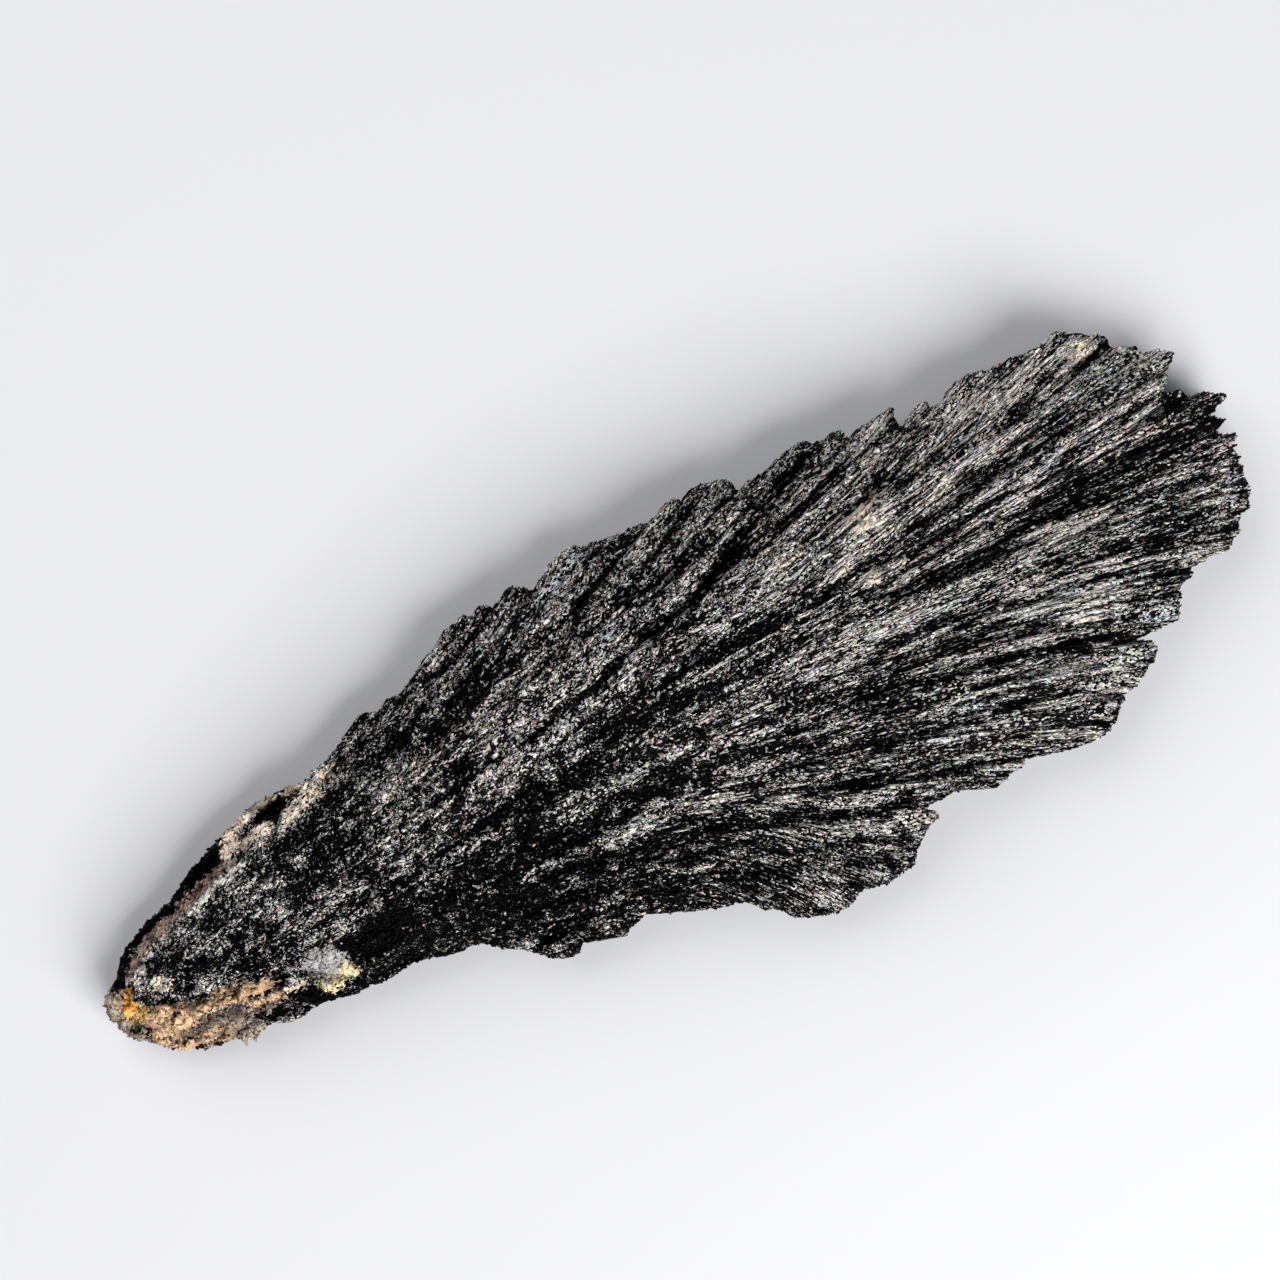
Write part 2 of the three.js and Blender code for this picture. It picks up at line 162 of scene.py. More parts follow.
# Blades of the front, as in the part: sheet x, sheet y, then length, width and lift in mm.
BLADES = np.array([
    (380, 722, 9, 2.6, 0.4), (438, 648, 11, 2.6, 0.5), (486, 612, 12, 2.6, 0.6), (524, 593, 13, 2.8, 0.7),
    (582, 553, 16, 3.4, 0.8), (640, 531, 18, 3, 0.7), (678, 504, 15, 2.4, 0.9), (730, 489, 18, 3, 0.8),
    (806, 447, 20, 3, 0.7), (843, 440, 16, 2.2, 0.8), (890, 416, 14, 2.4, 0.9), (926, 410, 16, 2.2, 0.6),
    (984, 379, 18, 3, 0.6), (1060, 340, 20, 3.2, 0.8), (1096, 341, 14, 2.2, 1), (1124, 353, 16, 2, 0.7),
    (1168, 357, 16, 1.8, 0.9), (1160, 381, 14, 1.6, 0.6), (1218, 399, 24, 2, 1.1), (1216, 423, 20, 1.8, 0.6),
    (1230, 441, 22, 2, 0.9), (1240, 474, 26, 2.4, 0.6), (1246, 500, 24, 2, 1), (1236, 528, 22, 2.4, 0.6),
    (1224, 549, 20, 2, 0.9), (1190, 572, 24, 2.4, 0.6), (1180, 606, 26, 2.8, 0.9), (1154, 651, 30, 3, 1.2),
    (1142, 676, 20, 2.4, 0.6), (1120, 708, 22, 2.8, 0.6), (1088, 738, 22, 3.2, 0.7),
    (1028, 758, 18, 2.8, 0.6), (984, 784, 18, 3, 0.7), (934, 816, 16, 2.6, 0.7), (916, 852, 15, 2.8, 0.8),
    (888, 878, 13, 2.8, 0.7), (852, 900, 15, 3.6, 0.9), (1120, 420, 26, 3.2, 0.8), (1060, 462, 24, 3.4, 0.7),
    (1150, 520, 30, 3.4, 0.8), (1010, 420, 20, 3, 0.9), (940, 470, 22, 3.6, 0.9), (890, 510, 22, 4.4, 1.1),
    (1050, 560, 28, 3.6, 0.7), (960, 590, 28, 4, 0.9), (1070, 640, 26, 3.2, 0.8), (960, 690, 26, 3.6, 1),
    (860, 600, 24, 3.8, 0.8), (800, 540, 20, 3.4, 0.7), (740, 600, 20, 3.8, 0.9), (700, 560, 14, 2.6, 0.8),
    (640, 610, 16, 3.4, 0.8), (850, 690, 26, 4, 0.8), (1000, 740, 20, 3, 0.6), (900, 760, 24, 3.6, 0.8),
    (760, 690, 24, 4.2, 0.9), (660, 680, 20, 3.8, 0.8), (580, 660, 15, 3.2, 0.7), (520, 680, 13, 3, 0.7),
    (820, 830, 22, 3.6, 0.7), (740, 800, 24, 4, 0.8), (650, 760, 22, 4, 0.8), (560, 740, 18, 3.6, 0.8),
    (480, 740, 14, 3, 0.6), (770, 892, 16, 3.2, 0.6), (690, 880, 20, 3.4, 0.6), (610, 850, 20, 3.8, 0.7),
    (530, 820, 18, 3.4, 0.7), (450, 810, 15, 3, 0.7), (600, 925, 14, 2.8, 0.6), (540, 930, 12, 2.8, 0.6),
    (470, 900, 15, 3.2, 0.6), (400, 900, 14, 3.2, 0.6), (390, 960, 11, 2.6, 0.4), (340, 810, 11, 2.6, 0.5),
], dtype=float)

# Lumps of the weathered root: sheet x, sheet y, then length, width, height and lift in mm.
ROOT_LUMPS = np.array([
    (205, 962, 17, 8.6, 6, 0.9), (265, 905, 18, 9.6, 6, 0.8), (232, 840, 4.6, 3, 3, 0.8),
    (276, 797, 6, 2.6, 3, 0.8), (338, 962, 4.6, 3, 3, 0.7), (118, 1006, 4, 4.4, 4, 0.6),
    (160, 1030, 8, 3.6, 4, 0.6), (222, 1030, 6, 3.4, 4, 0.6), (290, 1000, 6, 3.4, 4, 0.5),
    (1074, 352, 3.6, 2.2, 3, 0.9), (240, 828, 3.2, 2.2, 3, 0.6),
], dtype=float)

# Deep dark gaps in the growth frame: from x, y to x, y, then width and depth, all in mm.
GAPS = np.array([
    (-17.8, 13.1, -10, 15.4, 0.7, 1.2), (-24, 14.2, -17, 14.6, 0.5, 0.7), (-20.5, 11, -11, 13.9, 1.1, 1.1),
    (-11, 13.9, -6.2, 14.7, 0.8, 1), (-33.4, 11.6, -31.4, 12.4, 1, 1), (-29.5, 10.6, -24, 11.2, 1.2, 0.8),
    (0, 16.1, 8, 14.6, 0.8, 1.2), (4.2, 11.4, 7.2, 12.9, 0.9, 1.2), (5.2, 6.2, 9.6, 7.6, 1.3, 1.5),
    (9.6, 7.8, 16.2, 9.2, 1.6, 1.6), (11, 9.4, 20, 10.2, 0.6, 1), (15, 11.3, 24, 12.6, 0.8, 1.2),
    (20, 10, 27, 11.2, 0.6, 0.8), (-6.8, 4.6, -2.4, 6.3, 1, 1), (-12, 1, -4, 0.9, 0.9, 0.7),
    (-4, 1.8, 2.5, 1.5, 0.9, 0.9), (2.8, -2.5, 6.2, -2.9, 0.8, 1), (16, 1.7, 19.4, 1.2, 0.8, 1),
    (22.6, 6.5, 26, 5.7, 0.5, 0.8), (23.5, 1.6, 25.2, 2.2, 0.7, 0.9), (30.5, 2.8, 33.8, 4.2, 0.6, 0.9),
    (33, 4.4, 40, 5.6, 0.5, 0.8), (33.5, 9.3, 39, 9.7, 0.5, 0.8), (34, -4.3, 40, -5, 1, 1.2),
    (38.5, -5.2, 45.8, -6.4, 1.5, 1.6), (39.5, -3.3, 48, -4.4, 0.8, 1.1), (48, -4.4, 58, -5.2, 0.6, 0.9),
    (44, 1.9, 50, 1.6, 0.5, 0.8), (46, 1, 52, 0.7, 0.8, 1.1), (50, 1.7, 56.5, 1.7, 0.5, 0.9),
    (52, 0.7, 57.5, 0.4, 0.5, 0.9), (40, -0.1, 42.5, -0.5, 0.8, 0.9), (35, -1.2, 40, -1.5, 0.5, 0.7),
    (44, -0.9, 52, -1.5, 0.4, 0.7), (41.5, 2.7, 46.5, 2.4, 0.4, 0.6), (45, 5.2, 47.2, 5.6, 0.5, 0.8),
    (47.2, 5.6, 49.6, 6.3, 0.6, 1), (48.4, 8.6, 50, 6.6, 0.8, 1.2), (50.4, 5.6, 53.8, 5.5, 0.9, 1.2),
    (47.5, -3.3, 49, -3, 0.6, 0.8), (45.8, -7.8, 47.3, -8.8, 0.9, 1), (37, -8.8, 40, -10.2, 0.8, 0.8),
    (34.5, -11.3, 40, -12.6, 0.4, 0.7), (40, -12.6, 47, -14.6, 0.4, 0.7),
    (42.5, -10.6, 46.5, -12.2, 0.6, 0.9), (47, -10.5, 50.5, -12, 0.5, 0.8), (50, -12.8, 52, -13.6, 1, 1),
    (22.5, -9.2, 30, -9.8, 0.6, 1), (29.5, -10, 36, -11.3, 0.4, 0.7), (18, -13.6, 24.5, -14.6, 1.5, 1.2),
    (24, -15.2, 29, -16.6, 0.7, 1.2), (29, -16.8, 34.5, -18.3, 1.2, 1.4), (34.5, -17.8, 37, -18.8, 1, 1.2),
    (37, -19.4, 41, -20, 0.9, 1.2), (21.5, -5.6, 24.5, -6.2, 1.4, 1), (24, -5.9, 29.5, -6.2, 0.4, 0.8),
    (11, -7.8, 15.5, -8.1, 0.7, 1), (5.5, -8.5, 9.5, -9.8, 0.6, 0.8), (10.8, -20.6, 14.5, -20.6, 1.2, 1.4),
    (12, -22.6, 12.8, -23.6, 0.8, 1), (26.5, -18.9, 31.5, -20.3, 1.2, 0.9),
    (46, -15.6, 49.5, -17.2, 0.8, 0.9), (55, -5.6, 60, -6.6, 1, 1), (-42.6, 11.8, -38.6, 12.1, 1.5, 2),
    (-52, -5.4, -49, -5.9, 1, 0.8), (-47.4, -4.8, -46.2, -5.6, 1.2, 1), (-40.8, -3, -36, -3.6, 1.4, 0.6),
    (-60.6, 2.4, -56.5, 0.8, 0.5, 0.5), (-60.5, 5.9, -56, 6.1, 0.5, 0.5), (-48, 6.4, -47, 6, 1, 0.8),
    (5, 5.2, 11, 3.8, 1, 0.5), (-19, -1.8, -15.5, -2.2, 0.8, 0.6), (-10, -6.6, 0, -7.4, 1, 0.5),
], dtype=float)

# Stains of the root and the fan's chips, with black marks of painted shade in two pockets and along the
# root's upper flank: tone, strength and outline in the growth frame.
STAINS = [
    (Tone.RIND, 1.0, [
        (-66.5, 5), (-66.5, -1), (-64, -3), (-60, -5), (-57, -7), (-53, -7.5), (-52.2, -6.2),
        (-52.8, -4.9), (-54.6, -3.8), (-57, -2.6), (-60, -2.2), (-62.4, -1.2), (-62.6, 0.4), (-64, 1.4),
        (-63.4, 3.4), (-62.4, 5), (-62.6, 5.6), (-62.2, 6.8), (-60.8, 8.4), (-61.2, 9), (-64, 7)]),
    (Tone.TAN, 0.65, [
        (-62.9, 1.2), (-59.6, -0.8), (-56.6, -1.6), (-55.4, -3), (-57, -5.2), (-60.2, -4.6),
        (-63.2, -2.4)]),
    (Tone.CREAM, 0.5, [
        (-61.5, -3), (-59.5, -4), (-57.6, -5), (-57.4, -6.4), (-60.4, -5.6), (-62.7, -4.2)]),
    (Tone.RIND_DARK, 0.8, [
        (-62.2, -1.6), (-60, -1.9), (-57, -1.4), (-54.6, -1.8), (-52.6, -2.6), (-50.4, -2.8),
        (-48.4, -3.6), (-48.6, -4.6), (-51.4, -4.4), (-53.6, -4.2), (-56.2, -2.9), (-59, -2.7),
        (-61.4, -2.6)]),
    (Tone.TAN, 1.0, [
        (-62.8, 1.2), (-61.6, 2.8), (-60.8, 2.4), (-59.8, 1.4), (-57.4, 0.8), (-55.6, 0.2), (-53, 0),
        (-51.4, -0.6), (-49.8, -1.2), (-48.9, -2.2), (-49, -2.9), (-50.6, -2.6), (-52.6, -2.4),
        (-54.6, -1.6), (-57, -1.2), (-59.6, -1.8), (-61.6, -1.4), (-62.6, -0.2)]),
    (Tone.TAN, 0.55, [(-53.4, -2.2), (-50.6, -2.4), (-48.2, -3.2), (-48.8, -4), (-52.6, -3.8)]),
    (Tone.OCHRE, 1.0, [
        (-64.4, 2.4), (-63.4, 3.6), (-62, 3.4), (-61.2, 2.6), (-60.6, 2.2), (-61.4, 1.6), (-62.6, 1),
        (-63.8, 1.3)]),
    (Tone.RUST, 1.0, [
        (-63.7, 3.1), (-63, 4), (-62.3, 4.8), (-61.7, 4.9), (-61.7, 3.7), (-62.3, 3), (-63.2, 2.7)]),
    # Black band along the root's upper flank where it falls away: partly black mineral, partly painted shade
    # on the side turned from the key lamp.
    (Tone.BLACK, 1.0, [
        (-63.8, 5.3), (-63, 7.2), (-61.8, 8.9), (-60, 9.8), (-55, 11.3), (-50, 12.8), (-46.8, 13.6),
        (-46.2, 11.2), (-46.8, 10.3), (-50, 10.1), (-55, 9.3), (-58, 8.6), (-60, 7.8), (-61.2, 6.6),
        (-62, 5)]),
    (Tone.PINK_BROWN, 1.0, [
        (-61.8, 4.8), (-61, 6.5), (-59.6, 7.7), (-57, 8.7), (-55, 9.2), (-51, 10), (-45.8, 10.3),
        (-46, 9.6), (-50, 9), (-52, 8.5), (-54.8, 7.8), (-57, 7.4), (-59.5, 6.3), (-60.8, 5.1)]),
    (Tone.DARK_RED, 0.95, [(-52.6, 9.2), (-51, 9.6), (-48.4, 9.7), (-48.4, 9.3), (-51, 9.1)]),
    (Tone.SILVER, 0.7, [
        (-56.4, 7.3), (-54, 8), (-50, 8.9), (-46, 9.6), (-44.4, 9.4), (-45.2, 8.2), (-47.4, 8.4),
        (-50, 8.1), (-54, 7.4)]),
    (Tone.SILVER, 0.6, [(-61.4, 5), (-60.4, 6), (-57.5, 7.1), (-57.4, 6.5), (-60, 5.3), (-60.4, 4)]),
    (Tone.CREAM, 0.95, [
        (-47.4, 11.1), (-46.4, 12.2), (-45.6, 13.2), (-44.6, 13), (-43.8, 13.5), (-42.6, 13.5),
        (-42.3, 12.6), (-43.8, 12.1), (-44.8, 11.6), (-44.2, 10.9), (-42, 10.7), (-42.2, 10.1),
        (-44.6, 10.3), (-46.6, 10.5)]),
    (Tone.CREAM, 0.6, [(-44, 10.2), (-40.2, 10), (-39.4, 10.8), (-41, 11.1), (-43.4, 11.2)]),
    (Tone.CREAM, 0.65, [
        (-40.2, 10.1), (-38.6, 11.4), (-37, 12.2), (-35.4, 13), (-33.6, 12.8), (-33.4, 11.4), (-35, 10.2),
        (-37.4, 10.2)]),
    # Painted shadow: black in the deep pocket by the root's upper rim.
    (Tone.BLACK, 1.0, [
        (-42.4, 12.7), (-41.4, 12.3), (-40, 12.6), (-38.4, 12.3), (-38.2, 11.9), (-39.4, 11.2),
        (-40.2, 10.6), (-41, 11), (-42, 11.8)]),
    (Tone.RIND, 0.7, [(-43, 14.2), (-42.2, 13), (-38, 12.5), (-36, 12.5), (-36, 13.4), (-40, 14.4)]),
    # Painted shadow: black in a small pocket by the root's lower side.
    (Tone.BLACK, 0.9, [(-48.5, -4.6), (-46.4, -4.5), (-45.9, -5.3), (-46.4, -6.6), (-48.4, -6.1)]),
    (Tone.BLACK, 0.75, [(-41.4, -2.6), (-38, -2.5), (-34, -2.1), (-33, -4.6), (-36, -6), (-40.6, -5.6)]),
    (Tone.QUARTZ, 0.95, [
        (-45.5, -2.1), (-43.4, -1.8), (-41.4, -2.2), (-41.2, -4.3), (-42.6, -4.7), (-45.4, -4.6)]),
    (Tone.STRAW, 0.95, [
        (-46, -4.7), (-44.4, -5), (-43, -4.6), (-41.3, -4.3), (-41.1, -5.8), (-43, -6.2), (-44.8, -6.6),
        (-45.6, -6)]),
    (Tone.CREAM, 0.7, [(-48.4, -3.8), (-47, -3.3), (-45.6, -3.8), (-45.8, -4.6), (-47.4, -4.4)]),
    (Tone.CREAM, 0.9, [(-59.5, 3.3), (-58.6, 4.6), (-57.6, 4.1), (-57.2, 2.9), (-58.4, 2.6)]),
    (Tone.CREAM, 1.0, [(51, 6.6), (51.6, 7.5), (53.1, 7.7), (53.4, 6.9), (52.5, 6.2), (51.4, 5.9)]),
    (Tone.SCALE, 0.55, [
        (22.9, 4), (23.8, 5.2), (25.6, 5.7), (27.2, 5.9), (26.4, 4.4), (25.4, 3), (23.9, 2.5)]),
    (Tone.SCALE, 0.6, [(31.8, 2.5), (33, 3.7), (34.2, 3.3), (33.3, 2.3)]),
    (Tone.SCALE, 0.8, [(19.3, 1), (20.2, 1.8), (21.4, 1.8), (20.5, 1.1)]),
    (Tone.SCALE, 0.8, [(21.2, -1), (22.1, -0.2), (23.3, -0.4), (22.7, -1.2)]),
]

# Lighter and darker places: x, y, reach along and across the fibres in mm, amount.
PATCHES = np.array([
    (-34.3, 12.2, 1.6, 0.9, 0.9), (-37, 11.6, 2, 0.5, 0.6), (-40, 10.6, 2, 0.4, 0.5),
    (-42.5, 10.7, 2, 0.6, 0.5), (-28.3, 7.4, 1.6, 1.5, 0.7), (-26.4, 9, 0.9, 0.5, 0.6),
    (-24.3, 13.3, 1, 0.5, 0.6), (-26.9, 13.6, 0.8, 0.7, 0.6), (-26.8, 11.5, 0.4, 0.3, 0.5),
    (-21.5, 13.8, 0.6, 0.4, 0.9), (-20.6, 12.2, 1, 1, 0.6), (-22.6, 12.4, 0.9, 0.4, 0.6),
    (-18.8, 15.6, 0.8, 0.7, 1.1), (-16, 16.5, 1.2, 0.8, 0.4), (-14, 13.4, 1.6, 0.7, 0.5),
    (-12.5, 14.6, 1.8, 0.8, 0.5), (-8, 13.2, 1.6, 0.5, 0.7), (-9.3, 11.2, 1.2, 1, 0.5),
    (-4.2, 15.4, 1.4, 1, 1), (-3.5, 14.2, 1.2, 0.6, 0.6), (-2, 16.5, 1.5, 0.8, 0.3),
    (-17, 7.6, 1.8, 1.4, 0.6), (-13.2, 8.7, 0.8, 0.6, 0.5), (-11.7, 8.2, 0.8, 0.4, 0.6),
    (-10, 9.8, 1.5, 0.6, 0.4), (-27.5, 4.1, 1.6, 0.5, 0.9), (-25.3, 3.1, 1.2, 0.4, 0.7),
    (-22, 2.6, 1.8, 1, 0.5), (-17.5, 2.6, 3, 0.9, 0.6), (-12, 2.9, 3, 0.8, 0.5), (-14.7, 0.8, 1, 1, 0.4),
    (-24, 0.5, 2.5, 0.5, 0.6), (-32, 1.7, 2, 1.2, 0.5), (-38, 0.3, 2.5, 0.8, 0.4),
    (-30, -1.4, 3.5, 0.4, 0.6), (-36, -1.4, 3, 0.3, 0.5), (-40, -2, 1, 0.4, 0.4),
    (-24.5, -1.4, 2.5, 0.4, 0.5), (-19.2, -0.7, 0.8, 0.5, 0.7), (-16.8, -0.8, 0.8, 0.4, 0.5),
    (-12, -2.2, 1, 0.5, 0.6), (-9.8, -2.3, 1, 0.4, 0.5), (-15, -3.2, 0.6, 0.4, 0.6),
    (-26.5, -3.8, 0.7, 0.5, 0.6), (-20.3, -6, 0.6, 0.5, 0.6), (-18.5, -7.6, 1.8, 0.9, 0.35),
    (-30.3, -6.1, 0.4, 0.3, 0.9), (-38, -6.7, 1.2, 0.5, 0.6), (-9, -8.3, 1.6, 0.8, 0.7),
    (-6.6, -8.8, 1.6, 0.6, 0.5), (-12.5, -8.5, 2, 0.5, 0.3), (-14.5, -13.2, 1.4, 0.7, 0.5),
    (-15, -15.8, 1.5, 0.3, 0.4), (-24.4, -15.7, 1, 0.4, 0.7), (-25.8, -13.1, 0.5, 0.4, 0.8),
    (-17.6, -16, 0.5, 0.9, 0.5), (1.8, 0.1, 0.9, 0.4, 1), (-3.4, 7.2, 0.7, 0.5, 0.9),
    (-5.4, 6.6, 0.9, 0.4, 0.7), (-1.5, 5.6, 0.8, 0.6, 0.7), (1.5, 6.2, 2.5, 0.5, 0.5),
    (-0.5, 8.6, 2, 0.4, 0.4), (6, 10.9, 3, 0.7, 0.5), (9, 9.3, 1.8, 0.4, 0.7), (10.5, 12.3, 1.5, 0.5, 0.5),
    (13, 11.6, 1.4, 0.3, 0.6), (15, 15, 1.6, 0.9, 0.6), (12.5, 15.5, 2, 0.7, 0.3),
    (3.2, 16.5, 1.5, 0.5, 0.4), (15.3, 9.7, 0.4, 0.4, 0.8), (13, 5.6, 1.6, 0.9, 0.6), (16.5, 5, 1.6, 1, 0.5),
    (15.5, 3.2, 1.5, 0.8, 0.5), (13.6, 1.2, 1.3, 0.6, 0.5), (7.2, 3, 1, 0.5, 0.5), (5.8, 1.6, 0.8, 0.5, 0.5),
    (-4.5, -3.4, 0.9, 0.4, 0.6), (-3, -4.8, 1.5, 0.4, 0.5), (2, -5.5, 2, 0.6, 0.4),
    (7.2, -5.9, 1.6, 0.9, 0.6), (9.3, -8.8, 1.4, 0.9, 0.5), (13.6, -6.2, 2.4, 0.5, 0.6),
    (16.2, -6.9, 1, 0.3, 0.8), (11.5, -3.5, 2, 0.6, 0.4), (5.5, -2, 1.2, 0.3, 0.6),
    (18, -0.2, 3.5, 0.25, 0.8), (20.3, 1.4, 0.9, 0.25, 1.3), (22.3, -0.7, 0.9, 0.5, 1.1),
    (25, -1.2, 0.9, 0.4, 1), (26.8, -1, 1, 0.3, 0.6), (24.2, 0.5, 2, 0.2, 0.6), (24.6, 3.6, 1.8, 1.1, 1.1),
    (26, 4.8, 1.5, 0.5, 0.9), (22.8, 5.3, 1.3, 0.5, 0.7), (33, 3.1, 1.2, 0.7, 1), (31.2, 2.2, 1.2, 0.5, 0.6),
    (27.2, 5.7, 0.8, 0.3, 0.8), (29.5, 11, 2.2, 0.8, 0.8), (28.5, 10.6, 1, 0.5, 0.5),
    (29.1, 9.2, 0.4, 0.3, 1), (33.5, 11.6, 1, 0.3, 0.6), (32.2, 8.6, 1.2, 0.4, 0.6),
    (21.4, 6.4, 1, 0.4, 0.8), (31.6, 6.2, 0.5, 0.3, 1), (32.8, 6.3, 0.4, 0.3, 1), (38, 7, 2.5, 1, 0.4),
    (42.7, 6.9, 0.8, 0.3, 0.9), (44.5, 6.7, 1.4, 0.6, 0.5), (40.5, 5.6, 1.2, 0.5, 0.4),
    (43.2, 9.7, 0.8, 0.6, 0.6), (41, 4.3, 1.5, 0.7, 0.5), (46.2, 4.6, 1.2, 0.5, 0.5),
    (50, 4.2, 3, 0.8, 0.35), (55.2, 4.6, 1.2, 0.5, 0.7), (48.7, 2.8, 0.6, 0.6, 0.5),
    (52.4, 7.1, 1.4, 0.6, 1.3), (41.2, -1.2, 1.4, 0.45, 0.9), (36.5, -2.2, 2, 0.35, 0.8),
    (36, 0.2, 2.5, 0.4, 0.5), (48.5, -0.6, 1.2, 0.25, 0.7), (50.5, 0.1, 0.6, 0.2, 0.8),
    (53, -2.2, 3, 0.25, 0.5), (52, -0.5, 2.5, 0.15, 0.5), (46, -2.5, 2.5, 0.3, 0.5),
    (40.7, -3.4, 0.8, 0.4, 0.7), (52.7, -3.4, 0.5, 0.15, 0.9), (38, -6.6, 2.4, 0.8, 0.7),
    (42.5, -8, 2.2, 0.8, 0.8), (46.5, -9.3, 2, 0.6, 0.8), (36.4, -7.7, 0.5, 0.3, 0.9),
    (49.5, -9.6, 2.5, 0.3, 0.6), (37, -13, 3, 1.2, 0.55), (41.5, -14, 3, 0.8, 0.5), (38, -15.9, 2.2, 0.4, 1),
    (41.2, -17, 1.8, 0.4, 0.9), (46, -15.2, 2.5, 0.4, 0.6), (49.5, -15.8, 1.5, 0.3, 0.6),
    (34, -19, 1.8, 0.4, 1.1), (37.5, -21.3, 1.4, 0.4, 1), (31.8, -18, 1.4, 0.6, 0.9),
    (27.5, -17, 2.5, 0.4, 0.7), (22.5, -16.2, 2.5, 0.6, 0.6), (18, -15.6, 2.5, 0.4, 0.4),
    (24.2, -17.2, 0.4, 0.3, 0.9), (35.5, -15, 1.2, 0.3, 0.7), (32, -20, 0.9, 0.4, 0.6),
    (53.5, -13.7, 1.5, 0.4, 0.5), (55.5, -15.2, 1, 0.5, 0.6), (51.5, -17.6, 1, 0.3, 0.5),
    (2.2, -26.4, 1.6, 0.9, 0.7), (3, -25.8, 0.5, 0.8, 0.5), (7.5, -25.5, 2.5, 1.2, 0.4),
    (8.7, -20.7, 0.7, 0.8, 0.8), (9.2, -22, 0.6, 0.5, 0.7), (13.2, -21.9, 1.6, 0.5, 0.5),
    (13.8, -24.2, 0.7, 1.2, 0.8), (1, -23, 1.5, 2, 0.3), (2.8, -18.6, 1.2, 0.4, 0.4),
    (5.8, -20.2, 1, 0.3, 0.5), (36, -23.5, 3.5, 1.2, 0.5), (40, -23, 1.8, 1.2, 0.5),
    (33, -25.6, 1.5, 0.7, 0.4), (24, -23.8, 2.5, 0.8, 0.25), (46, -20.8, 1.2, 0.4, 0.3),
    (33, -12, 4, 2, 0.2), (-37, -4, 4, 2, -0.5), (-28, -4.5, 8, 2.2, -0.35), (-18, -3.5, 1.2, 2, -0.5),
    (-4, -6.8, 5, 0.7, -0.5), (-10, -18, 4, 1.5, -0.4), (-22, -9.5, 6, 1.5, -0.35), (-36, 7, 3, 2.5, -0.35),
    (-25, 10.8, 4, 0.8, -0.6), (-15, 11.2, 4, 0.9, -0.6), (-7, 0.4, 4, 0.8, -0.4), (7, 4.6, 3, 0.8, -0.5),
    (19, -12.5, 4, 1.8, -0.5), (12, -12, 6, 2, -0.2), (43, -4.6, 6, 1.1, -0.9), (58, -6.2, 2.5, 1.2, -0.5),
    (51.5, -5.2, 4, 0.8, -0.6), (49, -11.5, 3, 1, -0.3), (36, -17.2, 3, 0.8, -0.5),
    (28, -19.5, 2.5, 0.8, -0.5), (47, -16.8, 2, 0.8, -0.4), (16, 10, 5, 1, -0.5), (22, 11.8, 3, 0.6, -0.5),
    (24.5, 13, 1.5, 0.7, -0.5), (-52, 5.5, 4, 1, -0.3), (-24, -9, 12, 5, -0.4), (-20, -2.5, 10, 3, -0.25),
    (-2, -4, 12, 3, -0.2), (8, 0, 7, 2, -0.2), (-14, -20, 6, 3, -0.3), (28, 8.5, 12, 3, 0.35),
    (46, 6.5, 9, 3, 0.5), (22, 13.5, 5, 1.6, 0.45), (56, 3, 5, 2, 0.3), (-26, 5, 12, 4, -0.25),
    (6, 0, 8, 2.5, -0.1), (-37, -8.5, 5, 1.5, -0.5), (-46, -7, 3, 0.8, -0.4), (-18, -12, 6, 1.5, -0.2),
    (6, -24, 5, 2.5, -0.3), (54, -10, 5, 3, -0.15), (-8, 13, 7, 2.5, 0.25),
], dtype=float)


def turned(x: Array, y: Array, turn: float) -> Arrays:
    """Places measured along a direction and to the left of it."""
    cos, sin = math.cos(turn), math.sin(turn)
    return x * cos + y * sin, y * cos - x * sin


@dataclass(frozen=True)
class Growth:
    """How the drawing sheet lies in the growth frame, and how the fibres spread."""

    centre: Pair = (675.0, 692.8)
    tilt: float = math.radians(32.95)
    fan_length: float = 42.0
    shift: Pair = (1.777, 5.162)
    lobe: Pair = (-1.5, -23.5)
    lobe_reach: float = 7.5
    lobe_bend: float = -0.6

    def place(self, sheet: Array) -> Array:
        """Turns points of the drawing sheet, in tenths of a mm, into the growth frame.

        Args:
            sheet: points with sheet x and y in their first two columns.

        Returns:
            The same points' x and y in the growth frame, in mm.
        """
        right = (sheet[..., 0] - self.centre[0]) * TENTH
        up = (self.centre[1] - sheet[..., 1]) * TENTH
        return np.stack(turned(right, up, self.tilt), axis=-1)

    def bending(self, x: Array, y: Array) -> Array:
        """How strongly the lower lobe turns the fibres, from 0 to 1: a bell about its middle."""
        away = ((x - self.lobe[0]) ** 2 + (y - self.lobe[1]) ** 2) / self.lobe_reach**2
        return np.exp(-away / 2)

    def angle(self, x: Array, y: Array) -> Array:
        """Direction of the fibre: its slope is y over the fan length, and the lobe turns it down."""
        return np.arctan(y / self.fan_length) + self.lobe_bend * self.bending(x, y)

    def follow(self, y: Array, distance: Array) -> Array:
        """The y of a fibre after a distance along the axis: y grows by e to distance / length."""
        return y * np.exp(distance / self.fan_length)

    def metres(self, points: Array) -> Array:
        """Moves points from the growth frame, in mm, to the part's frame, in metres."""
        return (points + np.array([self.shift[0], self.shift[1], 0.0])) * MILLIMETRE


GROWTH = Growth()


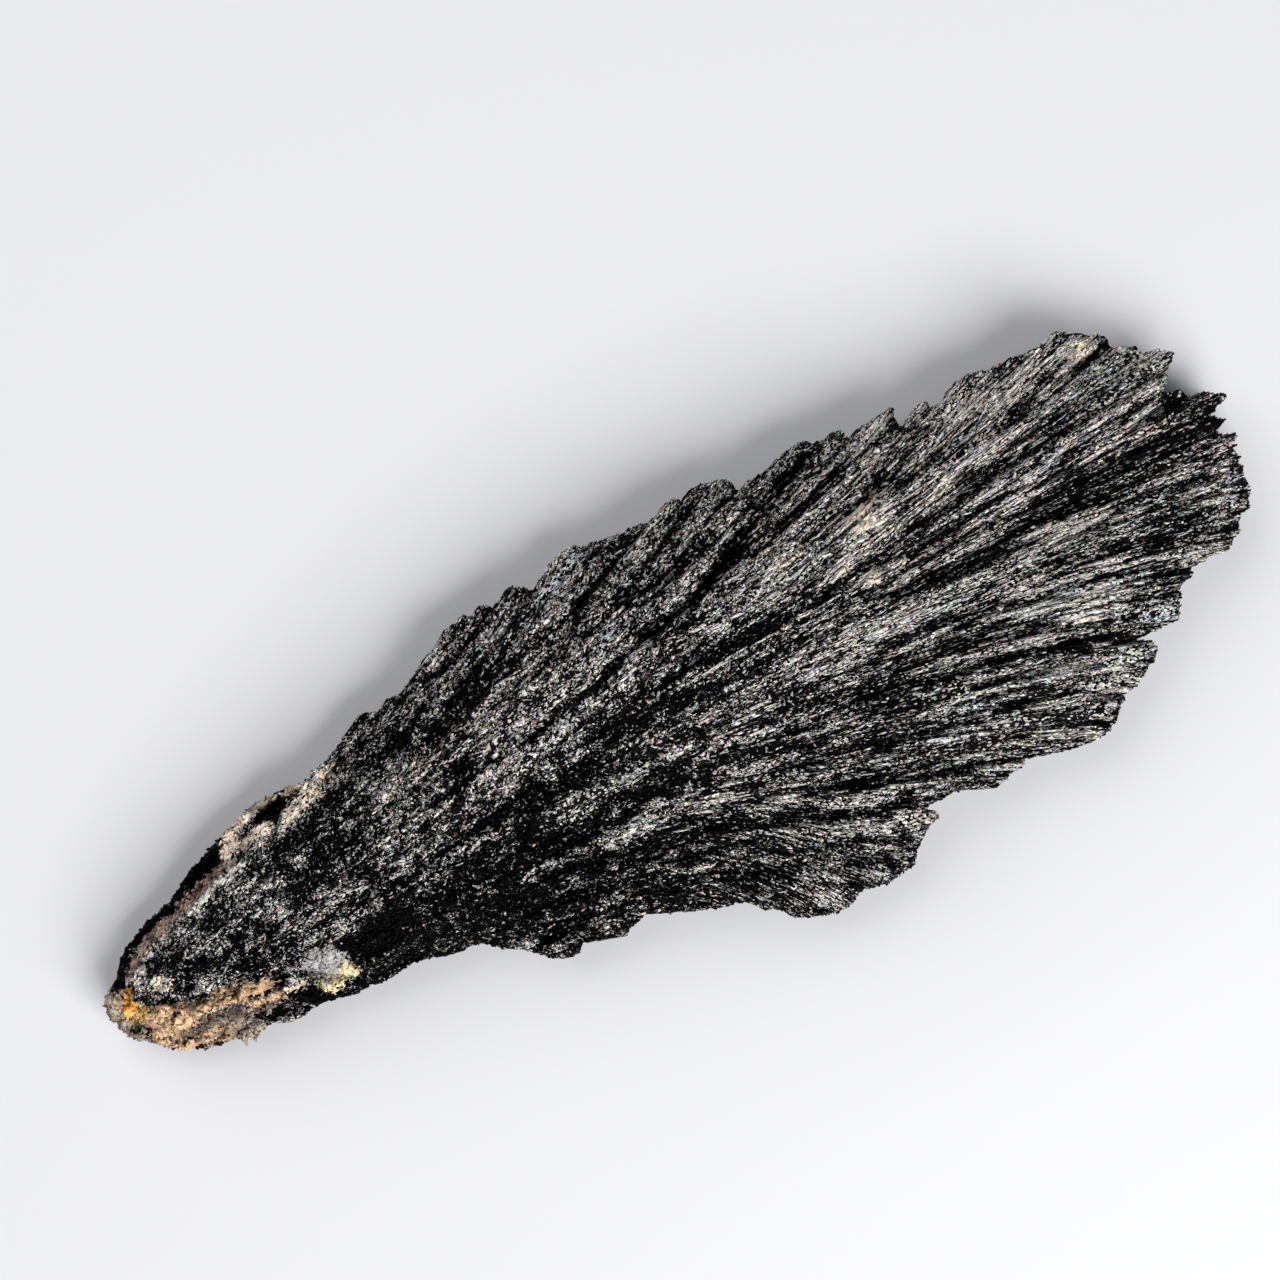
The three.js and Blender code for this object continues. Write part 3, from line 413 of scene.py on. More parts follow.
@dataclass(frozen=True)
class Body:
    """The domed body, given at stations along the growth axis."""

    dome_power: float = 3.0
    rest_width: float = 0.5
    rest_lift: float = 0.5

    def sideways(self, x: Array, y: Array) -> Array:
        """Distance from the middle line: 0 in the middle, 1 at the sides."""
        low, high = np.interp(x, STATION_X, LOW_Y), np.interp(x, STATION_X, HIGH_Y)
        return np.minimum(1.0, np.abs(y - (low + high) / 2) / ((high - low) / 2))

    def top_at(self, x: Array, y: Array) -> Array:
        """Height of the front: the crown, less the dome's power of the sideways distance."""
        crown, top = np.interp(x, STATION_X, CROWN), np.interp(x, STATION_X, TOP)
        return crown - (crown - top) * self.sideways(x, y) ** self.dome_power

    def bottom_at(self, x: Array, y: Array) -> Array:
        """Height of the back: level in the middle, then rising evenly to the sides."""
        share = np.maximum(0, (self.sideways(x, y) - self.rest_width) / (1 - self.rest_width))
        bottom = np.interp(x, STATION_X, BOTTOM)
        return self.rest_lift + (bottom - self.rest_lift) * share


BODY = Body()


def lattice(cells_x: Array, cells_y: Array, seed: int) -> Array:
    """A number from 0 to 1 for each whole cell, mixed from its two indices and the seed."""
    mixed = cells_x.astype(np.int64) * 374761393 + cells_y.astype(np.int64) * 668265263
    mixed = (mixed + seed * 2246822519) & 0xFFFFFFFF
    mixed = ((mixed ^ (mixed >> 13)) * 1274126177) & 0xFFFFFFFF
    return ((mixed ^ (mixed >> 16)) & 0xFFFF) / 65535.0


def noise(x: Array, y: Array, seed: int) -> Array:
    """Smooth noise from 0 to 1: the lattice's numbers, blended with a cubic ease in each cell."""
    cell_x, cell_y = np.floor(x), np.floor(y)
    ease_x, ease_y = x - cell_x, y - cell_y
    ease_x, ease_y = ease_x**2 * (3 - 2 * ease_x), ease_y**2 * (3 - 2 * ease_y)
    rows = []
    for row in (0, 1):
        left = lattice(cell_x, cell_y + row, seed)
        right = lattice(cell_x + 1, cell_y + row, seed)
        rows.append(left * (1 - ease_x) + right * ease_x)
    return rows[0] * (1 - ease_y) + rows[1] * ease_y


def plates(x: Array, y: Array) -> Array:
    """A number from 0 to 1 for each plate of the skin: staggered cells drawn out along the fibres.

    A plate's column is the whole part of a scaled fibre number, and its row the whole part of a
    scaled place along the axis, moved on by a number of the column's own.
    """
    fibre = GROWTH.follow(y, -x)
    warp = noise(x * 0.6 + 9, y * 1.1 + 9, 62)
    scale = np.where(x + 8 * warp > 16, 1.9, 0.95)
    column = np.floor(fibre * scale + 90 + 0.6 * noise(x * 0.5 + 3, y * 0.8 + 3, 61))
    row = x * 0.26 + 40 + 0.8 * warp + lattice(column, column * 0, 63)
    return lattice(column, np.floor(row), 64)


def ease(low: float, high: float, value: Array) -> Array:
    """0 below low, 1 above high, and a smooth cubic step between them."""
    share = np.clip((value - low) / (high - low), 0, 1)
    return share * share * (3 - 2 * share)


def blurred(values: Array, reach: float) -> Array:
    """A grid smoothed by a bell curve that is reach cells wide, through its Fourier transform."""
    waves = np.fft.rfft2(values)
    along = np.fft.fftfreq(values.shape[0])[:, None]
    across = np.fft.rfftfreq(values.shape[1])[None, :]
    bell = np.exp(-2 * (math.pi * reach) ** 2 * (along**2 + across**2))
    return np.fft.irfft2(waves * bell, s=values.shape)


def lowest(values: Array, steps: int) -> Array:
    """The lowest value among each cell's neighbours, some steps away in each direction."""
    result = values
    for axis in (0, 1):
        result = np.minimum.reduce([np.roll(result, k, axis=axis) for k in range(-steps, steps + 1)])
    return result


def resample(points: Array, count: int) -> Array:
    """Points at even steps of arc length along an open path."""
    steps = np.hypot(*np.diff(points, axis=0).T)
    reach = np.concatenate([[0], np.cumsum(steps)])
    wanted = np.linspace(0, reach[-1], count)
    return np.stack([np.interp(wanted, reach, points[:, k]) for k in (0, 1)], axis=1)


def smoothed_ring(points: Array, reach: float) -> Array:
    """A closed path averaged with its neighbours by a bell curve that is reach samples wide."""
    span = int(3 * reach)
    offsets = np.arange(-span, span + 1)
    weights = np.exp(-0.5 * (offsets / reach) ** 2)
    weights /= weights.sum()
    moved = np.stack([np.roll(points, offset, axis=0) for offset in offsets])
    return np.tensordot(weights, moved, axes=1)


def add_object(name: str, data: bpy.types.ID) -> Thing:
    """Puts a mesh, a camera or a lamp into the scene as an object."""
    thing = bpy.data.objects.new(name, data)
    bpy.context.scene.collection.objects.link(thing)
    return thing


def unit(vectors: Array) -> Array:
    """Vectors scaled to a length of 1, one row each."""
    return vectors / np.linalg.norm(vectors, axis=1, keepdims=True)


def shifted(x: Array, y: Array, turn: Array, way: Array, aside: Array | float = 0.0) -> Arrays:
    """Places moved some way along their directions, and some way to the left of them."""
    cos, sin = np.cos(turn), np.sin(turn)
    return x + way * cos - aside * sin, y + way * sin + aside * cos


def bake_cells(corners: list[Pair], count: int) -> Array:
    """One layout of face corners, repeated for each crystal in a small cell of its own."""
    columns = int(math.ceil(math.sqrt(count)))
    number = np.arange(count)
    cell = np.stack([number % columns, number // columns], axis=1)[:, None, :]
    return ((cell + np.array(corners)[None]) / columns).reshape(-1, 2)


class Rim:
    """The ragged outline, its smooth line, and which places lie inside it."""

    def __init__(self) -> None:
        """Places the rim's given points and works out its inside on a fine grid."""
        stretches = [ROOT_SIDE, UPPER_TEETH, FAN_EDGE, LOWER_SIDE, ROOT_END]
        self.points = GROWTH.place(np.array(sum(stretches, []), dtype=float))
        self.cell = 0.1
        margin = 3.0
        self.origin = self.points.min(axis=0) - margin
        shape = np.ceil((self.points.max(axis=0) + margin - self.origin) / self.cell).astype(int)
        self.shape = (int(shape[0]), int(shape[1]))
        self.x = self.origin[0] + (np.arange(self.shape[0]) + 0.5) * self.cell
        self.y = self.origin[1] + (np.arange(self.shape[1]) + 0.5) * self.cell
        self.inside = self._fill()
        self.deep = lowest(self.inside, 4)
        self.edge = self._edge()

    def _fill(self) -> Array:
        """Marks the grid's cells that an odd number of the rim's edges lie above."""
        inside = np.zeros(self.shape, dtype=bool)
        for start, end in zip(self.points, np.roll(self.points, -1, axis=0)):
            low, high = min(start[0], end[0]), max(start[0], end[0])
            columns = np.nonzero((self.x >= low) & (self.x < high))[0]
            if len(columns):
                share = (self.x[columns] - start[0]) / (end[0] - start[0])
                crossing = start[1] + share * (end[1] - start[1])
                inside[columns] ^= self.y[None, :] < crossing[:, None]
        return inside

    def _edge(self) -> Array:
        """How far inside each cell is: 0 at the rim and 1 from about 2.5 mm inside."""
        soft = blurred(self.inside.astype(float), 1.2 / self.cell)
        return np.clip((soft - 0.5) / 0.5, 0, 1)

    def _cell_of(self, x: Array, y: Array) -> Arrays:
        """The grid's column and row that hold each place."""
        column = ((x - self.origin[0]) / self.cell).astype(int).clip(0, self.shape[0] - 1)
        row = ((y - self.origin[1]) / self.cell).astype(int).clip(0, self.shape[1] - 1)
        return column, row

    def contains(self, x: Array, y: Array) -> Array:
        """Whether each place lies inside the rim."""
        return self.inside[self._cell_of(x, y)]

    def holds_deep(self, x: Array, y: Array) -> Array:
        """Whether each place lies inside the rim by a margin."""
        return self.deep[self._cell_of(x, y)]

    def steps(self, spacing: float, reach: float) -> Arrays:
        """The rim at even steps, as it is and smoothed, with its outward normals.

        Args:
            spacing: distance between points, in mm.
            reach: width of the smoothing, in mm.

        Returns:
            Points on the rim, points on the smooth line, and the smooth line's normals.
        """
        closed = np.vstack([self.points, self.points[:1]])
        length = np.hypot(*np.diff(closed, axis=0).T).sum()
        ring = resample(closed, int(length / spacing) + 1)[:-1]
        smooth = smoothed_ring(ring, reach / spacing)
        along = unit(np.roll(smooth, -1, axis=0) - np.roll(smooth, 1, axis=0))
        return ring, smooth, np.stack([-along[:, 1], along[:, 0]], axis=1)

    def sample(self, values: Array, x: Array, y: Array) -> Array:
        """A grid's value at any place, blended from the four cells round it."""
        column = np.clip((x - self.origin[0]) / self.cell - 0.5, 0, self.shape[0] - 1.001)
        row = np.clip((y - self.origin[1]) / self.cell - 0.5, 0, self.shape[1] - 1.001)
        i, j = column.astype(int), row.astype(int)
        u, v = column - i, row - j
        near = values[i, j] * (1 - u) + values[i + 1, j] * u
        far = values[i, j + 1] * (1 - u) + values[i + 1, j + 1] * u
        return near * (1 - v) + far * v

    def trim(self, x: Array, y: Array, turn: Array, half: Array) -> Arrays:
        """Cuts straight pieces where they leave the rim.

        Args:
            x: middles along the growth axis.
            y: middles across it.
            turn: directions, in radians.
            half: half lengths.

        Returns:
            How far each piece reaches backwards and forwards from its middle.
        """
        count = 10
        parts = np.arange(1, count + 1) / count
        reach = []
        for sign in (-1, 1):
            way = sign * half[:, None] * parts[None, :]
            free = self.contains(*shifted(x[:, None], y[:, None], turn[:, None], way))
            reach.append(half * np.logical_and.accumulate(free, axis=1).sum(axis=1) / count)
        return reach[0], reach[1]


class Relief:
    """Heights over the domed body, on a fine grid: blades, shingled ends, plates, gaps and lumps."""

    def __init__(self, rim: Rim, side: Side, seed: int) -> None:
        """Works out the relief of one side.

        Args:
            rim: the outline, whose grid the relief shares.
            side: front or back.
            seed: start of the random draws.
        """
        self.rim = rim
        self.side = side
        self.random = np.random.default_rng(seed)
        self.height = self._swells()
        blades = self.placed_blades()
        self._add_blades(blades, 0.75)
        if side is Side.FRONT:
            self._add_lumps()
            self._raise_root()
        self.coarse = self.height.copy()
        self._add_blades(self._shingles(360, (5, 15), (1.0, 2.4), (0.25, 0.7)), 1.0)
        self._add_blades(self._shingles(1600, (1.5, 6), (0.5, 1.2), (0.1, 0.35)), 1.0)
        self._cut_furrows()
        grid_x, grid_y = np.broadcast_arrays(rim.x[:, None], rim.y[None, :])
        self.height += 0.4 * (plates(grid_x, grid_y) - 0.5) * ease(-46, -26, grid_x)
        if side is Side.FRONT:
            self._cut_gaps()
        drop = (0.9 - 0.6 * ease(5, 40, rim.x)[:, None]) * (1 - rim.edge) ** 2
        self.height -= drop
        self.coarse -= drop
        self.exposure = self.height - blurred(self.height, 0.9 / rim.cell)
        self.floor = lowest(self.height, 2)

    def placed_blades(self) -> Array:
        """The listed blades in the growth frame; the back has its own at random."""
        if self.side is Side.FRONT:
            blades = BLADES.copy()
            blades[:, :2] = GROWTH.place(BLADES)
            return blades
        return self._shingles(70, (10, 24), (2.4, 4.0), (0.4, 0.9))

    def _window(self, low: Array, high: Array) -> tuple[slice, slice]:
        """The grid's part that holds a box."""
        first = np.floor((low - self.rim.origin) / self.rim.cell).astype(int).clip(0)
        last = np.ceil((high - self.rim.origin) / self.rim.cell).astype(int).clip(0)
        return slice(first[0], last[0] + 1), slice(first[1], last[1] + 1)

    def _swells(self) -> Array:
        """Long swells along the fibres at the fan, and even lumps towards the root."""
        x, y = self.rim.x[:, None], self.rim.y[None, :]
        fibre = GROWTH.follow(y, -x)
        own = self.side.value
        wide = noise(fibre * 0.3 + 40, x * 0.03 + 9, 11 + own) - 0.5
        narrow = noise(fibre * 1.2 + 90, x * 0.06 + 5, 17 + own) - 0.5
        lumps = noise(x * 0.3 + 20, y * 0.45 + 20, 13 + own) - 0.5
        small = noise(x * 0.8 + 20, y * 1.2 + 20, 19 + own) - 0.5
        fanned = ease(-34, 6, x)
        return (0.8 * wide + 0.5 * narrow) * fanned + (0.9 * lumps + 0.5 * small) * (1.15 - fanned)

    def _shingles(self, count: int, length: tuple, width: tuple, lift: tuple) -> Array:
        """Draws random smaller blades.

        Args:
            count: how many to draw at most.
            length: lowest and highest length, in mm.
            width: lowest and highest width.
            lift: lowest and highest lift.

        Returns:
            One row a blade, in the same columns as the listed ones.
        """
        draw = self.random.uniform
        x, y = draw(-60, 62, count * 4), draw(-28, 18, count * 4)
        kept = self.rim.contains(x, y) & (draw(0, 1, len(x)) > 0.75 * ease(0, -40, x))
        x, y = x[kept][:count], y[kept][:count]
        fine = 1 - 0.6 * ease(-10, 50, -x)
        return np.stack([
            x, y, draw(*length, len(x)) * fine, draw(*width, len(x)), draw(*lift, len(x)),
        ], axis=1)

    def _add_blades(self, blades: Array, strength: float) -> None:
        """Raises a strip for each blade: it rises from its root and ends in a sharp step.

        A strip's height is its lift, times an ease from its root end, times a flat middle with
        sharp sides, and it leans so that most strips are highest along their upper side.

        Args:
            blades: one row each: x and y of the tip, length, width and lift.
            strength: share of the lift that is used.
        """
        for x, y, length, width, lift in blades:
            root_y = GROWTH.follow(y, -length)
            low = np.array([x - length, min(y, root_y) - width])
            high = np.array([x + 0.5 * width, max(y, root_y) + width])
            window = self._window(low, high)
            way = x - self.rim.x[window[0]][:, None]
            across = (self.rim.y[window[1]][None, :] - GROWTH.follow(y, -way)) / (width / 2)
            slant = 0.45 * width * across * (1 if int(x * 7) % 2 else -1)
            body = 1 - ease(0.86, 1.0, np.abs(across))
            rising = ease(length, 0.3 * length, way) * ease(-0.06, 0.06, way + slant)
            lean = 1 + (0.45 if int(abs(y) * 11) % 4 else -0.35) * across
            self.height[window] += strength * lift * body * rising * lean

    def _add_lumps(self) -> None:
        """Raises the root's lumps: half an ellipsoid each, where it stands over the relief."""
        for sheet_x, sheet_y, length, width, _, lift in ROOT_LUMPS[2:]:
            x, y = GROWTH.place(np.array([sheet_x, sheet_y]))
            window = self._window(np.array([x, y]) - length, np.array([x, y]) + length)
            ring = np.hypot(
                (self.rim.x[window[0]][:, None] - x) / (length / 2),
                (self.rim.y[window[1]][None, :] - y) / (width / 2))
            self.height[window] += 0.7 * lift * ease(1.0, 0.35, ring)

    def _raise_root(self) -> None:
        """Lifts the black inner mass of the root over the rind round it, with a steep edge."""
        x, y = self.rim.x[:, None], self.rim.y[None, :]
        wobble = 0.5 * (noise(x * 0.9 + 60, y * 0.9 + 60, 41) - 0.5)
        low = np.interp(x, [-62, -58, -53, -48, -43, -38], [3.5, 1.2, 0.0, -1.4, -5.0, -12.0])
        high = np.interp(x, [-62, -58, -54, -50, -45, -40], [4.5, 6.9, 7.8, 8.4, 9.2, 13.0])
        inside = np.minimum(y + wobble - low, high + wobble - y)
        along = ease(-62.2, -60.8, x + wobble)
        self.height += 0.9 * (ease(-0.15, 0.3, inside) * along - 1) * ease(-36, -42, x)
        rind = np.maximum(ease(0.0, -0.8, inside), ease(-60.8, -62.2, x)) * ease(-40, -48, x)
        lumps = 1.0 * (noise(x * 0.7 + 3, y * 1.0 + 3, 47) - 0.5)
        lumps = lumps + 0.7 * (noise(x * 1.7 + 8, y * 2.2 + 8, 48) - 0.5)
        cracks = ease(0.42, 0.30, noise(x * 0.8 + 31, y * 1.9 + 31, 49))
        self.height += rind * (lumps - 0.55 * cracks)

    def _cut_furrows(self) -> None:
        """Sinks narrow furrows between bundles of fibres, which split where the fan widens.

        Noise drawn out along the fibres gives the furrows: they lie where it is low. Three
        such noises, each twice as fine as the last, take over from each other along the fan.
        """
        x, y = self.rim.x[:, None], self.rim.y[None, :]
        bent = GROWTH.bending(x, y)
        turn = float(GROWTH.angle(*np.array(GROWTH.lobe)))
        down, over = turned(x, y, turn)
        self.height -= 0.6 * bent * ease(0.48, 0.3, noise(over * 1.5 + 90, down * 0.22 + 90, 57))
        fibre = GROWTH.follow(y, -x)
        for start, end, across, along in ((-34, 14, 1.2, 0.20), (-4, 42, 2.4, 0.13), (26, 90, 4.8, 0.11)):
            near = ease(start, start + 14, x) * ease(end, end - 14, x) * (1 - 0.8 * bent)
            ridge = noise(fibre * across + 60, x * along + 20, 50 + start + self.side.value)
            fine = noise(fibre * across * 2.3 + 60, x * along * 2 + 20, 90 + start + self.side.value)
            self.height -= near * (0.45 * ease(0.40, 0.27, ridge) + 0.32 * ease(0.37, 0.25, fine))

    def _cut_gaps(self) -> None:
        """Sinks a groove for each gap, deepest half-way along it, with one steep side."""
        for from_x, from_y, to_x, to_y, width, depth in GAPS:
            start, end = np.array([from_x, from_y]), np.array([to_x, to_y])
            window = self._window(np.minimum(start, end) - 2, np.maximum(start, end) + 2)
            x, y = self.rim.x[window[0]][:, None], self.rim.y[window[1]][None, :]
            line = end - start
            length = math.hypot(*line)
            along = ((x - start[0]) * line[0] + (y - start[1]) * line[1]) / length
            across = np.abs((x - start[0]) * line[1] - (y - start[1]) * line[0]) / length
            ragged = 0.35 * (noise(x * 1.1, y * 2.5, 43) - 0.5) * width
            inside = ease(-0.4, 1.0, along) * ease(length + 0.4, length - 1.0, along)
            cut = ease(0.62 * width, 0.3 * width, across + ragged)
            self.height[window] -= depth * inside * cut


class Surface:
    """The front and the back of the cluster as heights over the resting plane."""

    def __init__(self, rim: Rim) -> None:
        """Makes the relief of both sides."""
        self.rim = rim
        self.relief = {Side.FRONT: Relief(rim, Side.FRONT, 21), Side.BACK: Relief(rim, Side.BACK, 22)}
        self.ceiling = 16.5
        self.clearance = 0.3

    def _level(self, side: Side, x: Array, y: Array, values: Array) -> Array:
        """The body's face plus a relief that points away from it, kept between its limits.

        Args:
            side: front or back.
            x: places along the growth axis.
            y: places across it.
            values: the relief's grid.

        Returns:
            Heights over the resting plane, in mm.
        """
        if side is Side.FRONT:
            height = BODY.top_at(x, y) + self.rim.sample(values, x, y)
            soft_from = self.ceiling - 1.0
            over = height - soft_from
            return np.where(over > 0, soft_from + np.tanh(over), height)
        return np.maximum(self.clearance, BODY.bottom_at(x, y) - 0.5 * self.rim.sample(values, x, y))

    def height(self, side: Side, x: Array, y: Array) -> Array:
        """Height of the skin under the crystals."""
        return self._level(side, x, y, self.relief[side].height)

    def floor(self, side: Side, x: Array, y: Array) -> Array:
        """Height of the deepest skin close by."""
        return self._level(side, x, y, self.relief[side].floor)

    def coarse(self, side: Side, x: Array, y: Array) -> Array:
        """Height of the skin before the shingles and the gaps."""
        return self._level(side, x, y, self.relief[side].coarse)

    def exposure(self, side: Side, x: Array, y: Array) -> Array:
        """How far a place stands over those round it, in mm."""
        return self.rim.sample(self.relief[side].exposure, x, y)

    def normal(self, side: Side, x: Array, y: Array) -> Array:
        """Outward normal of the coarse skin, from differences over 1 mm."""
        slope_x = (self.coarse(side, x + 0.5, y) - self.coarse(side, x - 0.5, y)).clip(-1, 1)
        slope_y = (self.coarse(side, x, y + 0.5) - self.coarse(side, x, y - 0.5)).clip(-1, 1)
        vector = np.stack([-slope_x, -slope_y, np.ones_like(x)], axis=1) * side.value
        return unit(vector)


class Palette:
    """Where the cluster is lighter, darker, brown or rusty."""

    def __init__(self, surface: Surface) -> None:
        """Keeps the surface, whose hollows are darker."""
        self.surface = surface

    def light(self, x: Array, y: Array) -> Array:
        """How light a place is, about 0: the patches' bell curves, streaks, clumps and plates."""
        total = np.zeros_like(x)
        for centre_x, centre_y, reach, spread, amount in PATCHES:
            turn = float(GROWTH.angle(np.array(centre_x), np.array(centre_y)))
            along, across = turned(x - centre_x, y - centre_y, turn)
            near = (np.abs(along) < 3 * reach) & (np.abs(across) < 3 * spread)
            bell = (along[near] / reach) ** 2 + (across[near] / spread) ** 2
            total[near] += amount * np.exp(-bell / 2)
        fibre = GROWTH.follow(y, -x)
        fanned = ease(-20, 30, x)
        streaks = 0.25 * (noise(fibre * 1.0 + 50, x * 0.14 + 20, 5) - 0.5)
        streaks += 0.38 * (noise(fibre * 2.6 + 50, x * 0.3 + 20, 7) - 0.5)
        streaks += 0.8 * ease(0, 36, x) * (noise(fibre * 6.0 + 50, x * 0.3 + 20, 9) - 0.5)
        streaks += 0.8 * ease(8, 46, x) * (noise(fibre * 13.0 + 50, x * 0.4 + 20, 10) - 0.5)
        streaks += 0.36 * (plates(x, y) - 0.5)
        clumps = 0.9 * (noise(x * 0.55 + 70, y * 0.8 + 30, 6) - 0.5)
        clumps += 0.9 * (noise(x * 1.3 + 10, y * 1.9 + 90, 8) - 0.5)
        clumps += 0.3 * (plates(x, y) - 0.5)
        total *= 1 - 0.25 * ease(-32, -16, x) * ease(44, 24, x)
        return total + streaks * (0.2 + 0.8 * fanned) + clumps * (1.15 - 0.85 * fanned)

    def stain(self, x: Array, y: Array) -> Arrays:
        """The stains' colour and strength at each place.

        Returns:
            Colours, one row a place, and strengths from 0 to 1.
        """
        wobble_x = x + 0.7 * (noise(x * 1.5, y * 1.5, 31) - 0.5)
        wobble_y = y + 0.7 * (noise(x * 1.5, y * 1.5, 32) - 0.5)
        colour = np.zeros((len(x), 3))
        strength = np.zeros(len(x))
        for tone, share, outline in STAINS:
            ring = np.array(outline, dtype=float)
            inside = np.zeros(len(x), dtype=bool)
            for start, end in zip(ring, np.roll(ring, -1, axis=0)):
                if start[1] != end[1]:
                    above = (start[1] > wobble_y) != (end[1] > wobble_y)
                    share_up = (wobble_y - start[1]) / (end[1] - start[1])
                    inside ^= above & (wobble_x < start[0] + share_up * (end[0] - start[0]))
            colour[inside] = tone.value
            strength[inside] = share
        return colour, strength

    def tints(
        self, side: Side, x: Array, y: Array, random: Generator, cover: float
    ) -> Array:
        """The colour of each crystal's bright flecks, and how much of the crystal they cover, with painted
        shade in the hollows.

        Args:
            side: front or back, for the hollows, which get painted shade.
            x: the crystals' places along the growth axis.
            y: the crystals' places across it.
            random: source of the random draws.
            cover: share that the flecks cover where a place is neither light nor dark.

        Returns:
            Linear red, green and blue, and the cover, one row a crystal.
        """
        count = len(x)
        light = self.light(x, y) if side is Side.FRONT else 0.5 * self.light(x, -4 - y)
        exposure = self.surface.exposure(side, x, y)
        # Painted shade and light: a place lower than those round it gets fewer, dimmer flecks, and a raised
        # place a few more.
        light = light + 1.3 * np.clip(exposure, -0.5, 0.2)
        hue = random.random(count)
        from_plate = 0.45
        hue = np.where(hue < from_plate, plates(x, y) * 7 % 1, hue / (1 - from_plate) % 1)[:, None]
        tint = np.array(Tone.SILVER.value) * np.ones((count, 1))
        for tone, low, high in (
            (Tone.COOL_GREY, 0.0, 0.16), (Tone.GREEN_GREY, 0.16, 0.34), (Tone.PINK_GREY, 0.74, 0.94),
            (Tone.WARM_WHITE, 0.94, 1.0),
        ):
            tint = np.where((hue >= low) & (hue < high), np.array(tone.value), tint)
        tint = tint * (0.8 + 0.3 * np.clip(light, -0.5, 0.8))[:, None]
        share = np.clip(cover + 0.6 * light + random.normal(0, 0.13, count), 0.02, 0.95)
        colour, strength = self.stain(x, y) if side is Side.FRONT else self.stain(x + 1, 6 - y)
        blotch = 0.8 * noise(x * 1.3 + 15, y * 1.7 + 15, 33) + 0.2 * random.random(count)
        stained = (blotch > 1.001 - strength) & (strength > 0)
        uneven_and_shaded = 0.7 + 0.5 * noise(x * 0.9 + 5, y * 1.2 + 5, 34) + random.uniform(-0.1, 0.1, count)
        # Painted shade: the stains' colour is darkened where a place lies lower than those round it.
        uneven_and_shaded = uneven_and_shaded * (1 + 1.4 * np.clip(exposure, -0.5, 0.25))
        tint[stained] = (colour * uneven_and_shaded[:, None])[stained]
        share[stained] = np.where(colour[stained, 0] < BLACK_BELOW, 0.03, 1.7)
        return np.concatenate([tint, share[:, None]], axis=1)


@dataclass
class Shape:
    """A piece's arrays before they are written: points, faces and what the finish reads.

    The grain holds, for each point, its place along and across its crystal in mm and a number
    of the crystal's own. The tint holds the colour of the flecks and how much they cover.
    """

    vertices: Array
    faces: Array
    sizes: Array
    tints: Array
    grain: Array
    bake_map: Array

    def write(self, name: str, material: Material) -> Thing:
        """Writes the piece, which stands for the part's node.

        Args:
            name: the piece's name.
            material: the finish.

        Returns:
            The object.
        """
        mesh = bpy.data.meshes.new(name)
        mesh.vertices.add(len(self.vertices))
        mesh.vertices.foreach_set("co", GROWTH.metres(self.vertices).astype(np.float32).ravel())
        mesh.loops.add(len(self.faces))
        mesh.loops.foreach_set("vertex_index", self.faces.astype(np.int32))
        mesh.polygons.add(len(self.sizes))
        starts = np.concatenate([[0], np.cumsum(self.sizes)[:-1]]).astype(np.int32)
        mesh.polygons.foreach_set("loop_start", starts)
        mesh.update(calc_edges=True)
        colour = mesh.attributes.new("tint", "FLOAT_COLOR", "POINT")
        colour.data.foreach_set("color", self.tints.astype(np.float32).ravel())
        pattern = mesh.attributes.new("grain", "FLOAT_VECTOR", "POINT")
        pattern.data.foreach_set("vector", self.grain.astype(np.float32).ravel())
        flat = mesh.uv_layers.new(name="OFBake")
        flat.data.foreach_set("uv", self.bake_map.astype(np.float32).ravel())
        mesh.materials.append(material)
        piece = add_object(name, mesh)
        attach(piece, "root")
        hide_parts(NODE)
        return piece


@dataclass
class Piece:
    """What every piece of the cluster has: the skin it lies on, its colours and its finish."""

    surface: Surface
    palette: Palette
    material: Material


